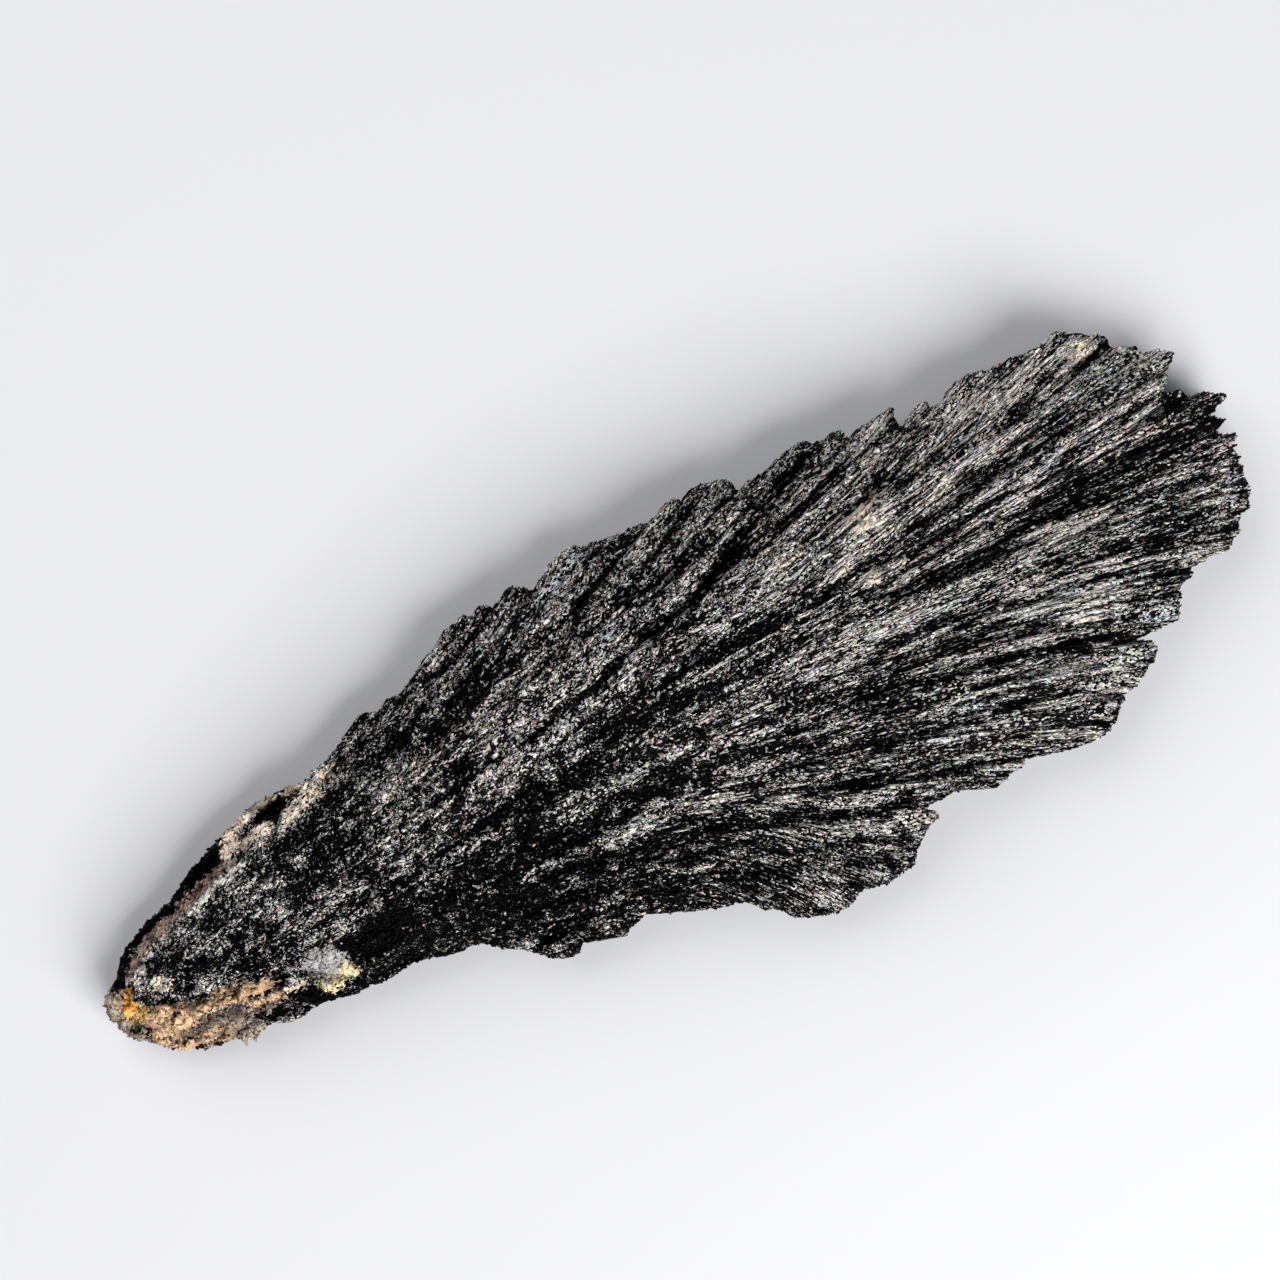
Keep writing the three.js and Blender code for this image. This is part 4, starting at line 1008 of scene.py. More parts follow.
@dataclass
class Core(Piece):
    """The cluster's body under its crystals: a closed skin over the front, the back and the rim."""

    along: int = 330
    across: int = 110
    wall_rows: int = 5
    sink: float = 0.12

    def _line(self) -> Array:
        """The smoothed rim, moved inwards until it lies inside the ragged one by a margin."""
        _, line, outward = self.surface.rim.steps(0.2, 0.8)
        deepest, step, usual = 4.0, 0.1, 0.6
        depth = np.full(len(line), deepest)
        for inset in np.arange(deepest, 0.35, -step):
            place = line - outward * inset
            free = self.surface.rim.holds_deep(*place.T)
            depth = np.where(free, inset, np.maximum(depth, inset + step))
        depth = np.where(depth > deepest - step, usual, depth)
        widest = np.maximum.reduce([np.roll(depth, k) for k in range(-4, 5)])
        depth = smoothed_ring(widest[:, None], 4)[:, 0]
        return line - outward * depth[:, None]

    def _plan(self) -> Array:
        """The front's grid in plan: four sides of the rim, blended between opposite sides."""
        line = self._line()
        corners = GROWTH.place(np.array([(110, 980), (1140, 358), (850, 910), (200, 1056)], float))
        at = [int(np.argmin(np.hypot(*(line - corner).T))) for corner in corners]

        def stretch(start: int, end: int, count: int) -> Array:
            """The rim from one corner to the next, at even steps."""
            numbers = np.arange(start, end + 1 if end >= start else end + len(line) + 1)
            return resample(line[numbers % len(line)], count)

        high = stretch(at[0], at[1], self.along)
        fan = stretch(at[1], at[2], self.across)[::-1]
        low = stretch(at[2], at[3], self.along)[::-1]
        root = stretch(at[3], at[0], self.across)
        u = np.linspace(0, 1, self.along)[:, None, None]
        v = np.linspace(0, 1, self.across)[None, :, None]
        sides = (1 - v) * low[:, None] + v * high[:, None] + (1 - u) * root[None] + u * fan[None]
        bend = (1 - u) * (1 - v) * low[0] + u * (1 - v) * low[-1]
        bend = bend + (1 - u) * v * high[0] + u * v * high[-1]
        return sides - bend

    def build(self) -> Thing:
        """Makes the skin: the front's grid, the back's grid and the wall between their edges."""
        plan = self._plan()
        x, y = plan[..., 0], plan[..., 1]
        shape = x.shape
        front = self.surface.floor(Side.FRONT, x.ravel(), y.ravel()).reshape(shape) - self.sink
        back = self.surface.height(Side.BACK, x.ravel(), y.ravel()).reshape(shape) + self.sink
        index = np.arange(x.size).reshape(shape)
        edge = np.concatenate([index[:-1, 0], index[-1, :-1], index[:0:-1, -1], index[0, :0:-1]])
        points = [np.stack([x, y, front], -1).reshape(-1, 3), np.stack([x, y, back], -1).reshape(-1, 3)]
        rings = [edge]
        for row in range(1, self.wall_rows):
            share = row / self.wall_rows
            ring = points[0][edge] * (1 - share) + points[1][edge] * share
            rings.append(2 * x.size + (row - 1) * len(edge) + np.arange(len(edge)))
            points.append(ring)
        rings.append(edge + x.size)
        top = np.stack([index[:-1, :-1], index[1:, :-1], index[1:, 1:], index[:-1, 1:]], -1)
        under = top[..., ::-1] + x.size
        faces = [top.reshape(-1, 4), under.reshape(-1, 4)]
        following = np.roll(np.arange(len(edge)), -1)
        for upper, lower in zip(rings[:-1], rings[1:]):
            faces.append(np.stack([upper, lower, lower[following], upper[following]], -1))
        vertices = np.vstack(points)
        quads = np.vstack(faces)
        return Shape(
            vertices, quads.ravel(), np.full(len(quads), 4), self._tints(vertices),
            vertices.copy(), self._bake_map(shape, len(edge)),
        ).write("body", self.material)

    def _tints(self, vertices: Array) -> Array:
        """Dark skin with few flecks, and stained at the root."""
        x, y = vertices[:, 0], vertices[:, 1]
        random = np.random.default_rng(5)
        tint = self.palette.tints(Side.FRONT, x, y, random, 0.12)
        plain = np.array(Tone.SILVER.value)
        tint[:, :3] = 0.6 * tint[:, :3] + 0.4 * plain
        tint[:, 3] = np.clip(tint[:, 3] * 0.8, 0.02, 0.6)
        return tint

    def _bake_map(self, shape: tuple[int, int], around: int) -> Array:
        """The front in the upper part of the map, the back under it, and the wall in a strip."""
        u = np.linspace(0.005, 0.995, shape[0])
        v = np.linspace(0.0, 1.0, shape[1])
        grid = np.stack(np.broadcast_arrays(u[:, None], v[None, :]), -1)
        corners = np.stack([grid[:-1, :-1], grid[1:, :-1], grid[1:, 1:], grid[:-1, 1:]], 2)
        front = corners * [1, 0.44] + [0, 0.55]
        back = corners[..., ::-1, :] * [1, 0.44] + [0, 0.08]
        marks = np.linspace(0.005, 0.995, around + 1)
        left, right = marks[:-1], marks[1:]
        walls = []
        for row in range(self.wall_rows):
            upper, lower = np.full(around, 0.07 - 0.01 * row), np.full(around, 0.06 - 0.01 * row)
            strip = [(left, upper), (left, lower), (right, lower), (right, upper)]
            walls.append(np.stack([np.stack(corner, -1) for corner in strip], axis=1))
        return np.vstack([front.reshape(-1, 2), back.reshape(-1, 2), np.vstack(walls).reshape(-1, 2)])


@dataclass
class Crystals:
    """Many small closed prisms, each with a narrow top, two bevelled sides and a flat base."""

    centre: Array
    axis: Array
    normal: Array
    length: Array
    width: Array
    height: Array
    tint: Array

    def build(self, name: str, material: Material, seed: int) -> Thing:
        """Joins the prisms: four section points at each end, swept straight along the axis.

        Args:
            name: the piece's name.
            material: the finish.
            seed: start of the random draws.

        Returns:
            The joined piece.
        """
        count = len(self.centre)
        random = np.random.default_rng(seed)
        axis = unit(self.axis)
        sideways = unit(np.cross(self.normal, axis))
        upward = np.cross(axis, sideways)
        top = random.uniform(0.15, 0.75, count)
        shift = random.uniform(-1, 1, count) * (0.9 - top)
        one = np.ones(count)
        across = np.stack([-one, shift - top, shift + top, one], axis=1)
        rise = np.stack([
            -one, random.uniform(0.45, 1.0, count), random.uniform(0.45, 1.0, count), -one], axis=1)
        slant = random.uniform(-1.0, 1.0, (2, count)) * self.width
        chisel = random.uniform(-0.3, 1.0, (2, count)) * self.height
        taper = random.uniform(0.5, 1.0, (2, count))
        ends = []
        for end, sign in ((0, -1.0), (1, 1.0)):
            reach = sign * self.length[:, None] / 2
            reach = reach - sign * np.abs(0.5 * slant[end][:, None] * (1 - across))
            reach = reach - sign * 0.5 * np.maximum(0, chisel[end][:, None] * (1 + rise))
            side = across * (self.width * taper[end] / 2)[:, None]
            raised = rise * (self.height * taper[end] / 2)[:, None]
            ends.append(
                self.centre[:, None, :]
                + reach[..., None] * axis[:, None, :]
                + side[..., None] * sideways[:, None, :]
                + raised[..., None] * upward[:, None, :])
        vertices = np.stack(ends, axis=1).reshape(count, 8, 3)
        lift = np.maximum(0, LOWEST_POINT - vertices[..., 2].min(axis=1))
        drop = np.maximum(0, vertices[..., 2].max(axis=1) - HIGHEST_POINT)
        vertices[..., 2] += (lift - drop)[:, None]
        vertices = vertices.reshape(-1, 3)
        faces, sizes = self._faces(count)
        along = np.repeat(np.stack([-self.length / 2, self.length / 2], 1)[..., None], 4, axis=2)
        girth = across * self.width[:, None] / 2 + np.array([-0.6, 0, 0, 0.6]) * self.height[:, None]
        side = np.repeat(girth[:, None, :], 2, axis=1)
        own = np.broadcast_to(random.random(count)[:, None, None] * 500, along.shape)
        grain = np.stack([along, side, own], axis=-1).reshape(-1, 3)
        tints = np.repeat(self.tint[:, :, None, :], 4, axis=2).copy()
        # Painted shade: the four base points of every prism get a quarter less fleck cover, so each crystal
        # darkens towards its foot between its neighbours.
        tints[:, :, [0, 3], 3] -= 0.25
        return Shape(
            vertices, faces, sizes, tints.reshape(-1, 4), grain, self._bake_map(count),
        ).write(name, material)

    @staticmethod
    def _faces(count: int) -> Arrays:
        """Four sides and two ends of every prism, all facing outwards."""
        sides = [(k, 4 + k, 4 + (k + 1) % 4, (k + 1) % 4) for k in range(4)]
        pattern = np.array([number for face in sides for number in face] + [0, 1, 2, 3, 7, 6, 5, 4])
        faces = (np.arange(count)[:, None] * 8 + pattern[None, :]).ravel()
        return faces, np.full(count * 6, 4)

    @staticmethod
    def _bake_map(count: int) -> Array:
        """A small cell of the map for each prism: its sides as a strip and its ends under it."""
        corners = []
        for k in range(4):
            left, right = 0.1 + 0.2 * k, 0.1 + 0.2 * (k + 1)
            corners += [(left, 0.3), (left, 0.9), (right, 0.9), (right, 0.3)]
        for start in (0.12, 0.56):
            corners += [(start, 0.08), (start, 0.22), (start + 0.3, 0.22), (start + 0.3, 0.08)]
        return bake_cells(corners, count)


@dataclass(frozen=True)
class Habit:
    """How one kind of crystal looks, in mm and radians: lowest and highest values."""

    length: Pair
    width: Pair
    proud: Pair
    turn: float
    pitch: float
    roll: float


GRAINS = Habit((0.4, 1.1), (0.3, 0.7), (-0.2, 0.14), 0.6, 0.25, 0.5)
SPLINTERS = Habit((0.8, 2.4), (0.28, 0.58), (-0.22, 0.16), 0.16, 0.07, 0.5)
NEEDLES = Habit((1.4, 5.0), (0.22, 0.48), (-0.26, 0.16), 0.04, 0.02, 0.55)
CRUST = Habit((0.5, 1.5), (0.45, 1.0), (-0.3, 0.02), 0.8, 0.10, 0.35)


@dataclass
class Coat(Piece):
    """A coat of crystals over one zone of the front or the back."""

    name: str
    side: Side
    start: float
    end: float
    count: int
    seed: int
    span: Pair = (-28.5, 18.5)
    cover: float = 0.36
    shortest: float = 0.35
    rise: float = 0.02

    def _scatter(self, random: Generator) -> Arrays:
        """Places inside the rim, one in each cell of an even grid, moved about inside it."""
        rim = self.surface.rim
        zone = rim.inside[(rim.x >= self.start) & (rim.x < self.end)]
        step = math.sqrt(zone.sum() * rim.cell**2 / self.count)
        x, y = np.meshgrid(
            np.arange(self.start, self.end, step), np.arange(*self.span, step), indexing="ij")
        x = (x + step * random.random(x.shape)).ravel()
        y = (y + step * random.random(y.shape)).ravel()
        kept = rim.contains(x, y)
        order = random.permutation(int(kept.sum()))
        return x[kept][order], y[kept][order]

    def _habits(self, x: Array, y: Array, random: Generator) -> dict[str, Array]:
        """Picks each crystal's habit: grains at the root, splinters, then needles at the fan.

        Args:
            x: the crystals' places along the growth axis.
            y: the crystals' places across it.
            random: source of the random draws.

        Returns:
            The habits' values by name, one for each crystal.
        """
        colour, strength = self.palette.stain(x, y)
        stained = strength > 0
        crust = stained & (colour[:, 0] > BLACK_BELOW)
        level = np.abs(self.surface.normal(self.side, x, y)[:, 2])
        bent = GROWTH.bending(x, y)
        share = 0.85 * ease(-6 + 1.2 * np.maximum(y, 0), 40 + 0.5 * np.maximum(y, 0), x) + 0.9 * bent
        needle = (~stained) & (random.random(len(x)) < share * (0.35 + 0.65 * ease(0.7, 0.92, level)))
        granular = 0.45 * ease(30, -20, x) + 0.5 * ease(60, 10, x)
        grain = (~needle) & (stained | (random.random(len(x)) < granular))
        kinds = ((slice(None), SPLINTERS), (needle, NEEDLES), (grain, GRAINS), (crust, CRUST))
        sizes = {}
        for label in ("length", "width", "proud"):
            low, high = np.empty((2, len(x)))
            for chosen, habit in kinds:
                low[chosen], high[chosen] = getattr(habit, label)
            sizes[label] = low + (high - low) * random.random(len(x)) ** 1.3
        for label in ("turn", "pitch", "roll"):
            spread = np.empty(len(x))
            for chosen, habit in kinds:
                spread[chosen] = getattr(habit, label)
            sizes[label] = spread * random.standard_normal(len(x))
        sizes["turn"] = np.where(crust, sizes["turn"] * (1 - 0.8 * ease(-30, 10, x)), sizes["turn"])
        return sizes

    def _placed(self, random: Generator) -> tuple[dict[str, Array], Array, Array, Array]:
        """Scatters the crystals, turns them along the fibres and keeps them inside the rim.

        Returns:
            The habits, with the lengths left inside the rim, then x, y and direction.
        """
        rim = self.surface.rim
        x, y = self._scatter(random)
        habit = self._habits(x, y, random)
        turn = GROWTH.angle(x, y) + habit["turn"]
        half = habit["length"] / 2
        _, ahead = rim.trim(x, y, turn, half)
        x, y = shifted(x, y, turn, -(half - ahead) * ease(-30, 0, x))
        back, ahead = rim.trim(x, y, turn, half)
        length = back + ahead
        x, y = shifted(x, y, turn, (ahead - back) / 2)
        kept = length > self.shortest
        for along, across in ((-0.4, -0.45), (-0.4, 0.45), (0.4, -0.45), (0.4, 0.45)):
            kept &= rim.contains(*shifted(x, y, turn, along * length, across * habit["width"]))
        habit["length"] = length
        habit = {label: values[kept] for label, values in habit.items()}
        return habit, x[kept], y[kept], turn[kept]

    def _axes(
        self, habit: dict[str, Array], x: Array, y: Array, turn: Array, normal: Array
    ) -> Arrays:
        """Lays each crystal on the skin: short ones on its slope, long ones from end to end.

        Args:
            habit: the habits' values by name.
            x: the crystals' places along the growth axis.
            y: the crystals' places across it.
            turn: their directions, in radians.
            normal: the skin's normals under them.

        Returns:
            The axes, and the heights of the skin that the crystals lie on.
        """
        length = habit["length"]
        flat = np.stack([np.cos(turn), np.sin(turn), np.zeros_like(x)], axis=1)
        axis = unit(flat - normal * (flat * normal).sum(axis=1, keepdims=True))
        level = self.surface.height(self.side, x, y)
        first = self.surface.height(self.side, *shifted(x, y, turn, -length / 2))
        last = self.surface.height(self.side, *shifted(x, y, turn, length / 2))
        chord = np.concatenate([flat[:, :2], ((last - first) / length)[:, None]], axis=1)
        long = ease(1.0, 2.4, length)
        axis += (chord - axis) * long[:, None]
        away = self.side.value
        level = away * np.minimum(away * level, away * (first + last) / 2 + 0.08 + 2 * (1 - long))
        return axis + normal * (habit["pitch"] + self.rise)[:, None], level

    def build(self) -> Thing:
        """Scatters the coat's crystals inside the rim, along the fibres, on the relief."""
        random = np.random.default_rng(self.seed)
        habit, x, y, turn = self._placed(random)
        length, width = habit["length"], habit["width"]
        normal = self.surface.normal(self.side, x, y)
        axis, level = self._axes(habit, x, y, turn, normal)
        side = np.cross(normal, axis)
        tilted = normal * np.cos(habit["roll"])[:, None] + side * np.sin(habit["roll"])[:, None]
        height = width * random.uniform(0.6, 1.0, len(x))
        level = level + self.side.value * habit["proud"] - self.side.value * 0.3 * height
        if self.side is Side.BACK:
            sunk = 0.5 * height + 0.5 * length * np.abs(habit["pitch"] + self.rise)
            level = np.maximum(level, 0.02 + sunk)
        centre = np.stack([x, y, level], axis=1)
        ends = [
            self.palette.tints(
                self.side, *shifted(x, y, turn, share * length),
                np.random.default_rng(self.seed + 50), self.cover)
            for share in (-0.35, 0.35)
        ]
        tint = np.stack(ends, axis=1)
        # Painted shade and light: crystals sunk under the skin get fewer flecks and proud ones more, so the
        # hollows between crystals read darker.
        tint[:, :, 3] += np.where(tint[:, :, 3] < 1, 1.6 * habit["proud"][:, None], 0)
        crystals = Crystals(centre, axis, tilted, length, width, height, tint)
        return crystals.build(self.name, self.material, self.seed + 100)


@dataclass
class RimBlades(Piece):
    """The blades whose ends make the ragged rim, in layers from the back to the front."""

    spacing: float = 0.2
    layers: int = 5
    seed: int = 71
    shortest: float = 0.33
    end_on: float = 0.22
    root_from: float = 0.4
    cover: float = 0.34

    def _sizes(
        self, ring: Array, facing: Array, rooted: Array, random: Generator
    ) -> Arrays:
        """Draws the blades' sizes.

        Args:
            ring: their places on the rim.
            facing: how squarely they meet the rim: 0 along it, 1 or -1 across it.
            rooted: 1 at the root and 0 away from it.
            random: source of the random draws.

        Returns:
            Length, width and height, and whether each blade is a short lump of the rind.
        """
        count = len(ring)
        ending = np.abs(facing) > self.end_on
        length = np.where(ending, random.uniform(1.2, 4.5, count), random.uniform(1.0, 3.4, count))
        length = np.where(facing < -self.end_on, 0.6 * length, length)
        length = length * (1 + 0.5 * ease(10, 40, ring[:, 0]) * ending)
        colour, strength = self.palette.stain(*ring.T)
        rind = (strength > 0) & (colour[:, 0] > BLACK_BELOW) & (rooted > self.root_from)
        length = np.where(rind, random.uniform(0.6, 1.5, count), length)
        width = random.uniform(0.28, 0.65, count) * (1 + 0.4 * rooted)
        height = width * random.uniform(0.6, 1.1, count) * (1 - (0.4 + 0.2 * rooted) * (~ending))
        return length, width, height, rind

    def _normals(
        self, outward: Array, share: Array, ending: Array, rooted: Array, random: Generator
    ) -> Array:
        """Turns the blades' narrow tops up or down at the ends of fibres, and outwards elsewhere.

        Args:
            outward: the rim's normals.
            share: the blades' heights between the back and the front, from 0 to 1.
            ending: whether each blade ends at the rim.
            rooted: 1 at the root and 0 away from it.
            random: source of the random draws.

        Returns:
            The directions of the tops, one row a blade.
        """
        count = len(outward)
        middle = 0.4
        lean = random.normal(0, 0.4, count) * (1 - 0.6 * rooted)
        vertical = np.zeros((count, 3))
        vertical[:, 2] = np.where(share > middle, 1, -1)
        out = np.concatenate([outward, np.zeros((count, 1))], axis=1)
        return np.where(
            ending[:, None],
            vertical * np.cos(lean)[:, None] + out * np.abs(np.sin(lean))[:, None],
            out + vertical * np.abs(share - middle)[:, None] * 1.5)

    def build(self) -> Thing:
        """Sets a blade's tip at each step of the rim, and lays blades along its quiet sides."""
        random = np.random.default_rng(self.seed)
        rim = self.surface.rim
        ring, _, outward = rim.steps(self.spacing, 0.6)
        layer = np.tile(np.arange(self.layers), len(ring))
        place = np.repeat(np.arange(len(ring)) * self.spacing, self.layers)
        ring, outward = np.repeat(ring, self.layers, 0), np.repeat(outward, self.layers, 0)
        count = len(ring)
        rooted = ease(-26, -40, ring[:, 0])
        at_root = rooted > self.root_from
        turn = GROWTH.angle(*ring.T)
        turn = np.where(at_root, np.arctan2(outward[:, 0], -outward[:, 1]), turn)
        turn = turn + random.normal(0, 0.05, count)
        flat = np.stack([np.cos(turn), np.sin(turn)], axis=1)
        facing = (flat * outward).sum(axis=1)
        ending = np.abs(facing) > self.end_on
        size, width, height, rind = self._sizes(ring, facing, rooted, random)
        inward = np.where(ending, random.uniform(0.0, 0.3, count), width / 2 + 0.05 + 0.1 * rooted)
        middle = ring - outward * inward[:, None]
        middle = middle - flat * (np.sign(facing) * size / 2 * ending)[:, None]
        back, ahead = rim.trim(*middle.T, turn, size / 2)
        x, y = shifted(*middle.T, turn, (ahead - back) / 2)
        size = back + ahead
        share = (layer + random.uniform(0.1, 0.9, count)) / self.layers
        top = self.surface.height(Side.FRONT, *ring.T) - 0.1
        bottom = self.surface.height(Side.BACK, *ring.T) + 0.2
        level = bottom + (top - bottom) * share
        climb = np.where(rind, 0.9, 0.04) * random.standard_normal(count)
        axis = np.concatenate([flat, climb[:, None]], axis=1)
        normal = self._normals(outward, share, ending, rooted, random)
        kept = (size > self.shortest) & rim.contains(x, y)
        for along in (-0.4, 0.4):
            end = np.stack([x, y], 1) + flat * (along * size)[:, None] + outward * 0.3 * height[:, None]
            kept &= rim.contains(*end.T) | ~at_root
        centre = np.stack([x, y, level], axis=1)
        tint = self.palette.tints(Side.FRONT, x, y, random, self.cover)
        strata = noise(place * 0.12 + 9, level * 1.7 + 40, 77) + noise(place * 0.5, level * 3 + 40, 78) - 1
        follow = 0.5 + 0.5 * ease(0.5, 0.9, share)
        even = 0.33 - 0.1 * rooted + follow * (tint[:, 3] - self.cover) + 1.1 * (1.3 - follow) * strata
        tint[:, 3] = np.where(tint[:, 3] < 1, even, tint[:, 3])
        tint = np.repeat(tint[:, None, :], 2, axis=1)
        return Crystals(
            centre[kept], axis[kept], normal[kept], size[kept], width[kept], height[kept], tint[kept],
        ).build("rim_blades", self.material, self.seed + 1)


@dataclass
class Blades(Piece):
    """Broad flat blades that stand out of the coat, each swept along its fibre."""

    extra: int = 260
    seed: int = 91
    stations: int = 8
    steps: int = 24
    longest: float = 14.0
    widest: float = 2.4
    proud: float = 0.10
    cover: float = 0.5
    cover_limit: float = 0.48

    def _table(self, random: Generator) -> Array:
        """The listed blades and random narrower ones, most of them away from the root."""
        hand = self.surface.relief[Side.FRONT].placed_blades()
        hand = hand[hand[:, 0] > -34]
        draw = random.uniform
        x, y = draw(-40, 61, self.extra * 4), draw(-27, 17, self.extra * 4)
        kept = self.surface.rim.contains(x, y)
        x, y = x[kept][: self.extra], y[kept][: self.extra]
        more = np.stack([
            x, y, draw(3, 9, len(x)), draw(0.6, 1.5, len(x)), draw(0.2, 0.5, len(x))], axis=1)
        return np.vstack([hand, more])

    def _pull_in(self, table: Array) -> Array:
        """Moves tips that stand outside the rim back along their fibres, 0.25 mm at a time."""
        for _ in range(12):
            x, y = table[:, 0], table[:, 1]
            room = 0.36 * np.minimum(table[:, 3], self.widest)
            inside = self.surface.rim.contains(x, y - room) & self.surface.rim.contains(x, y + room)
            table[:, 1] = np.where(inside, y, GROWTH.follow(y, np.full(len(y), -0.25)))
            table[:, 0] = np.where(inside, x, x - 0.25)
        return table

    def _free_reach(self, x: Array, y: Array, length: Array, width: Array) -> Array:
        """How far back from its tip each blade stays inside the rim with both its sides.

        Args:
            x: the tips' places along the growth axis.
            y: the tips' places across it.
            length: the blades' lengths.
            width: the blades' widths.

        Returns:
            The lengths that are free, in mm.
        """
        length = np.minimum(length, self.longest)
        parts = np.linspace(0, 1, self.steps)[None, :]
        way = -length[:, None] * parts
        room = np.minimum(width, self.widest)[:, None] * (0.34 + 0.11 * ease(0, 0.3, parts))
        free = np.ones(way.shape, dtype=bool)
        for side in (-1, 1):
            place = GROWTH.follow(y[:, None], way) + side * room
            free &= self.surface.rim.contains(x[:, None] + way, place)
        return length * np.logical_and.accumulate(free, axis=1).sum(axis=1) / self.steps

    def _chosen(self, table: Array) -> Array:
        """Keeps blades that have room, at the rim or in light places, off the lobe and the stains."""
        away = np.hypot(table[:, 0] - GROWTH.lobe[0], table[:, 1] - GROWTH.lobe[1])
        reach = self._free_reach(*table[:, :4].T)
        light = self.palette.light(table[:, 0] - 2, table[:, 1])
        stained = self.palette.stain(table[:, 0] - 1, table[:, 1])[1] > 0
        ahead = np.array([1.2, 0.0]) + table[:, :2]
        tip = ~self.surface.rim.contains(*ahead.T) & (table[:, 0] > 16)
        return table[(away > 10) & (reach > 2.5) & ((light > 0.15) | tip) & ~stained]

    def _faces(self, count: int) -> Arrays:
        """Six sides along every blade and its two ends, all facing outwards."""
        ring = np.arange(6)
        body = []
        for station in range(self.stations - 1):
            a, b = station * 6 + ring, (station + 1) * 6 + ring
            body.append(np.stack([a, b, np.roll(b, -1), np.roll(a, -1)], axis=1))
        pattern = np.concatenate([
            np.vstack(body).ravel(), np.arange(6), (self.stations - 1) * 6 + np.arange(5, -1, -1)])
        faces = (np.arange(count)[:, None] * self.stations * 6 + pattern[None, :]).ravel()
        return faces, np.tile(np.concatenate([np.full((self.stations - 1) * 6, 4), [6, 6]]), count)

    def build(self) -> Thing:
        """Sweeps a six-pointed section along each blade's fibre, with a slanted tip."""
        random = np.random.default_rng(self.seed)
        table = self._chosen(self._pull_in(self._table(random)))
        count = len(table)
        tip_x, tip_y, length, width, _ = table.T
        s = np.linspace(0, 1, self.stations)[None, :]
        reach = self._free_reach(tip_x, tip_y, length, width)[:, None]
        x = tip_x[:, None] - reach * (1 - s)
        y = GROWTH.follow(tip_y[:, None], -reach * (1 - s))
        turn = GROWTH.angle(x, y)
        profile = np.interp(s[0], [0, 0.25, 0.8, 1], [0.35, 0.85, 1.0, 0.75])[None, :]
        half = 0.5 * np.minimum(width, self.widest)[:, None] * profile * 0.9
        across = np.array([-1.0, -0.9, -0.1, 0.9, 1.0, 0.0])[None, None, :]
        rise = np.array([-0.6, 0.0, 0.12, 0.0, -0.6, -1.0])[None, None, :]
        slant = random.uniform(-0.9, 0.9, count)[:, None, None] * half[..., None]
        slant = slant * (s[..., None] ** 6)
        level = self.surface.coarse(Side.FRONT, x.ravel(), y.ravel()).reshape(x.shape)
        powers = np.vander(s[0], 3)
        fit = (level @ np.linalg.pinv(powers).T) @ powers.T
        sinking = 0.5 * (1 - ease(0, 0.35, s))
        level = fit + self.proud + random.normal(0, 0.06, (count, 1)) - sinking
        lean = random.normal(0.12, 0.12, (count, 1, 1))
        side = across * half[..., None]
        forward = slant * across
        cos, sin = np.cos(turn)[..., None], np.sin(turn)[..., None]
        px = x[..., None] - sin * side + cos * forward
        py = y[..., None] + cos * side + sin * forward
        pz = level[..., None] + rise * 0.9 + lean * side
        vertices = np.stack([px, py, np.minimum(pz, self.surface.ceiling)], axis=-1).reshape(-1, 3)
        faces, sizes = self._faces(count)
        flat_x, flat_y = px.ravel(), py.ravel()
        tints = self.palette.tints(Side.FRONT, flat_x, flat_y, np.random.default_rng(2), self.cover)
        tints[:, 3] = np.minimum(tints[:, 3], self.cover_limit)
        hue = self.palette.tints(Side.FRONT, tip_x, tip_y, np.random.default_rng(3), self.cover)
        tints[:, :3] = np.repeat(hue[:, :3], self.stations * 6, axis=0)
        grain = np.stack([
            np.broadcast_to((reach * s)[..., None], px.shape),
            side + np.array([-0.55, 0, 0, 0, 0.55, 0]),
            np.broadcast_to(random.random(count)[:, None, None] * 500, px.shape),
        ], axis=-1).reshape(-1, 3)
        return Shape(
            vertices, faces, sizes, tints, grain, self._bake_map(count),
        ).write("blades", self.material)

    def _bake_map(self, count: int) -> Array:
        """A small cell of the map for each blade: its sides as a grid and its ends under it."""
        corners = []
        for station in range(self.stations - 1):
            low = 0.25 + 0.65 * station / (self.stations - 1)
            high = 0.25 + 0.65 * (station + 1) / (self.stations - 1)
            for k in range(6):
                left, right = 0.1 + 0.13 * k, 0.1 + 0.13 * (k + 1)
                corners += [(left, low), (left, high), (right, high), (right, low)]
        for start in (0.12, 0.56):
            ring = np.arange(6) * math.pi / 3
            corners += [(start + 0.16 + 0.14 * math.cos(a), 0.14 + 0.08 * math.sin(a)) for a in ring]
        return bake_cells(corners, count)


def feed(tree: Tree, node: Node, inputs: dict[str | int, object]) -> Node:
    """Fills a node's inputs, by name or number: sockets are linked, and values are set."""
    for key, value in inputs.items():
        if isinstance(value, Socket):
            tree.links.new(value, node.inputs[key])
        else:
            node.inputs[key].default_value = value
    return node


def add_node(tree: Tree, kind: str, inputs: dict[str | int, object], **settings: str) -> Node:
    """Adds a shader node of a kind, with its settings, and fills its inputs."""
    node = tree.nodes.new(f"ShaderNode{kind}")
    for name, value in settings.items():
        setattr(node, name, value)
    return feed(tree, node, inputs)


def computed(tree: Tree, kind: str, operation: str, *values: object) -> Socket:
    """Adds a math or vector math node, fills its inputs in order, and returns its output."""
    return add_node(tree, kind, dict(enumerate(values)), operation=operation).outputs[0]


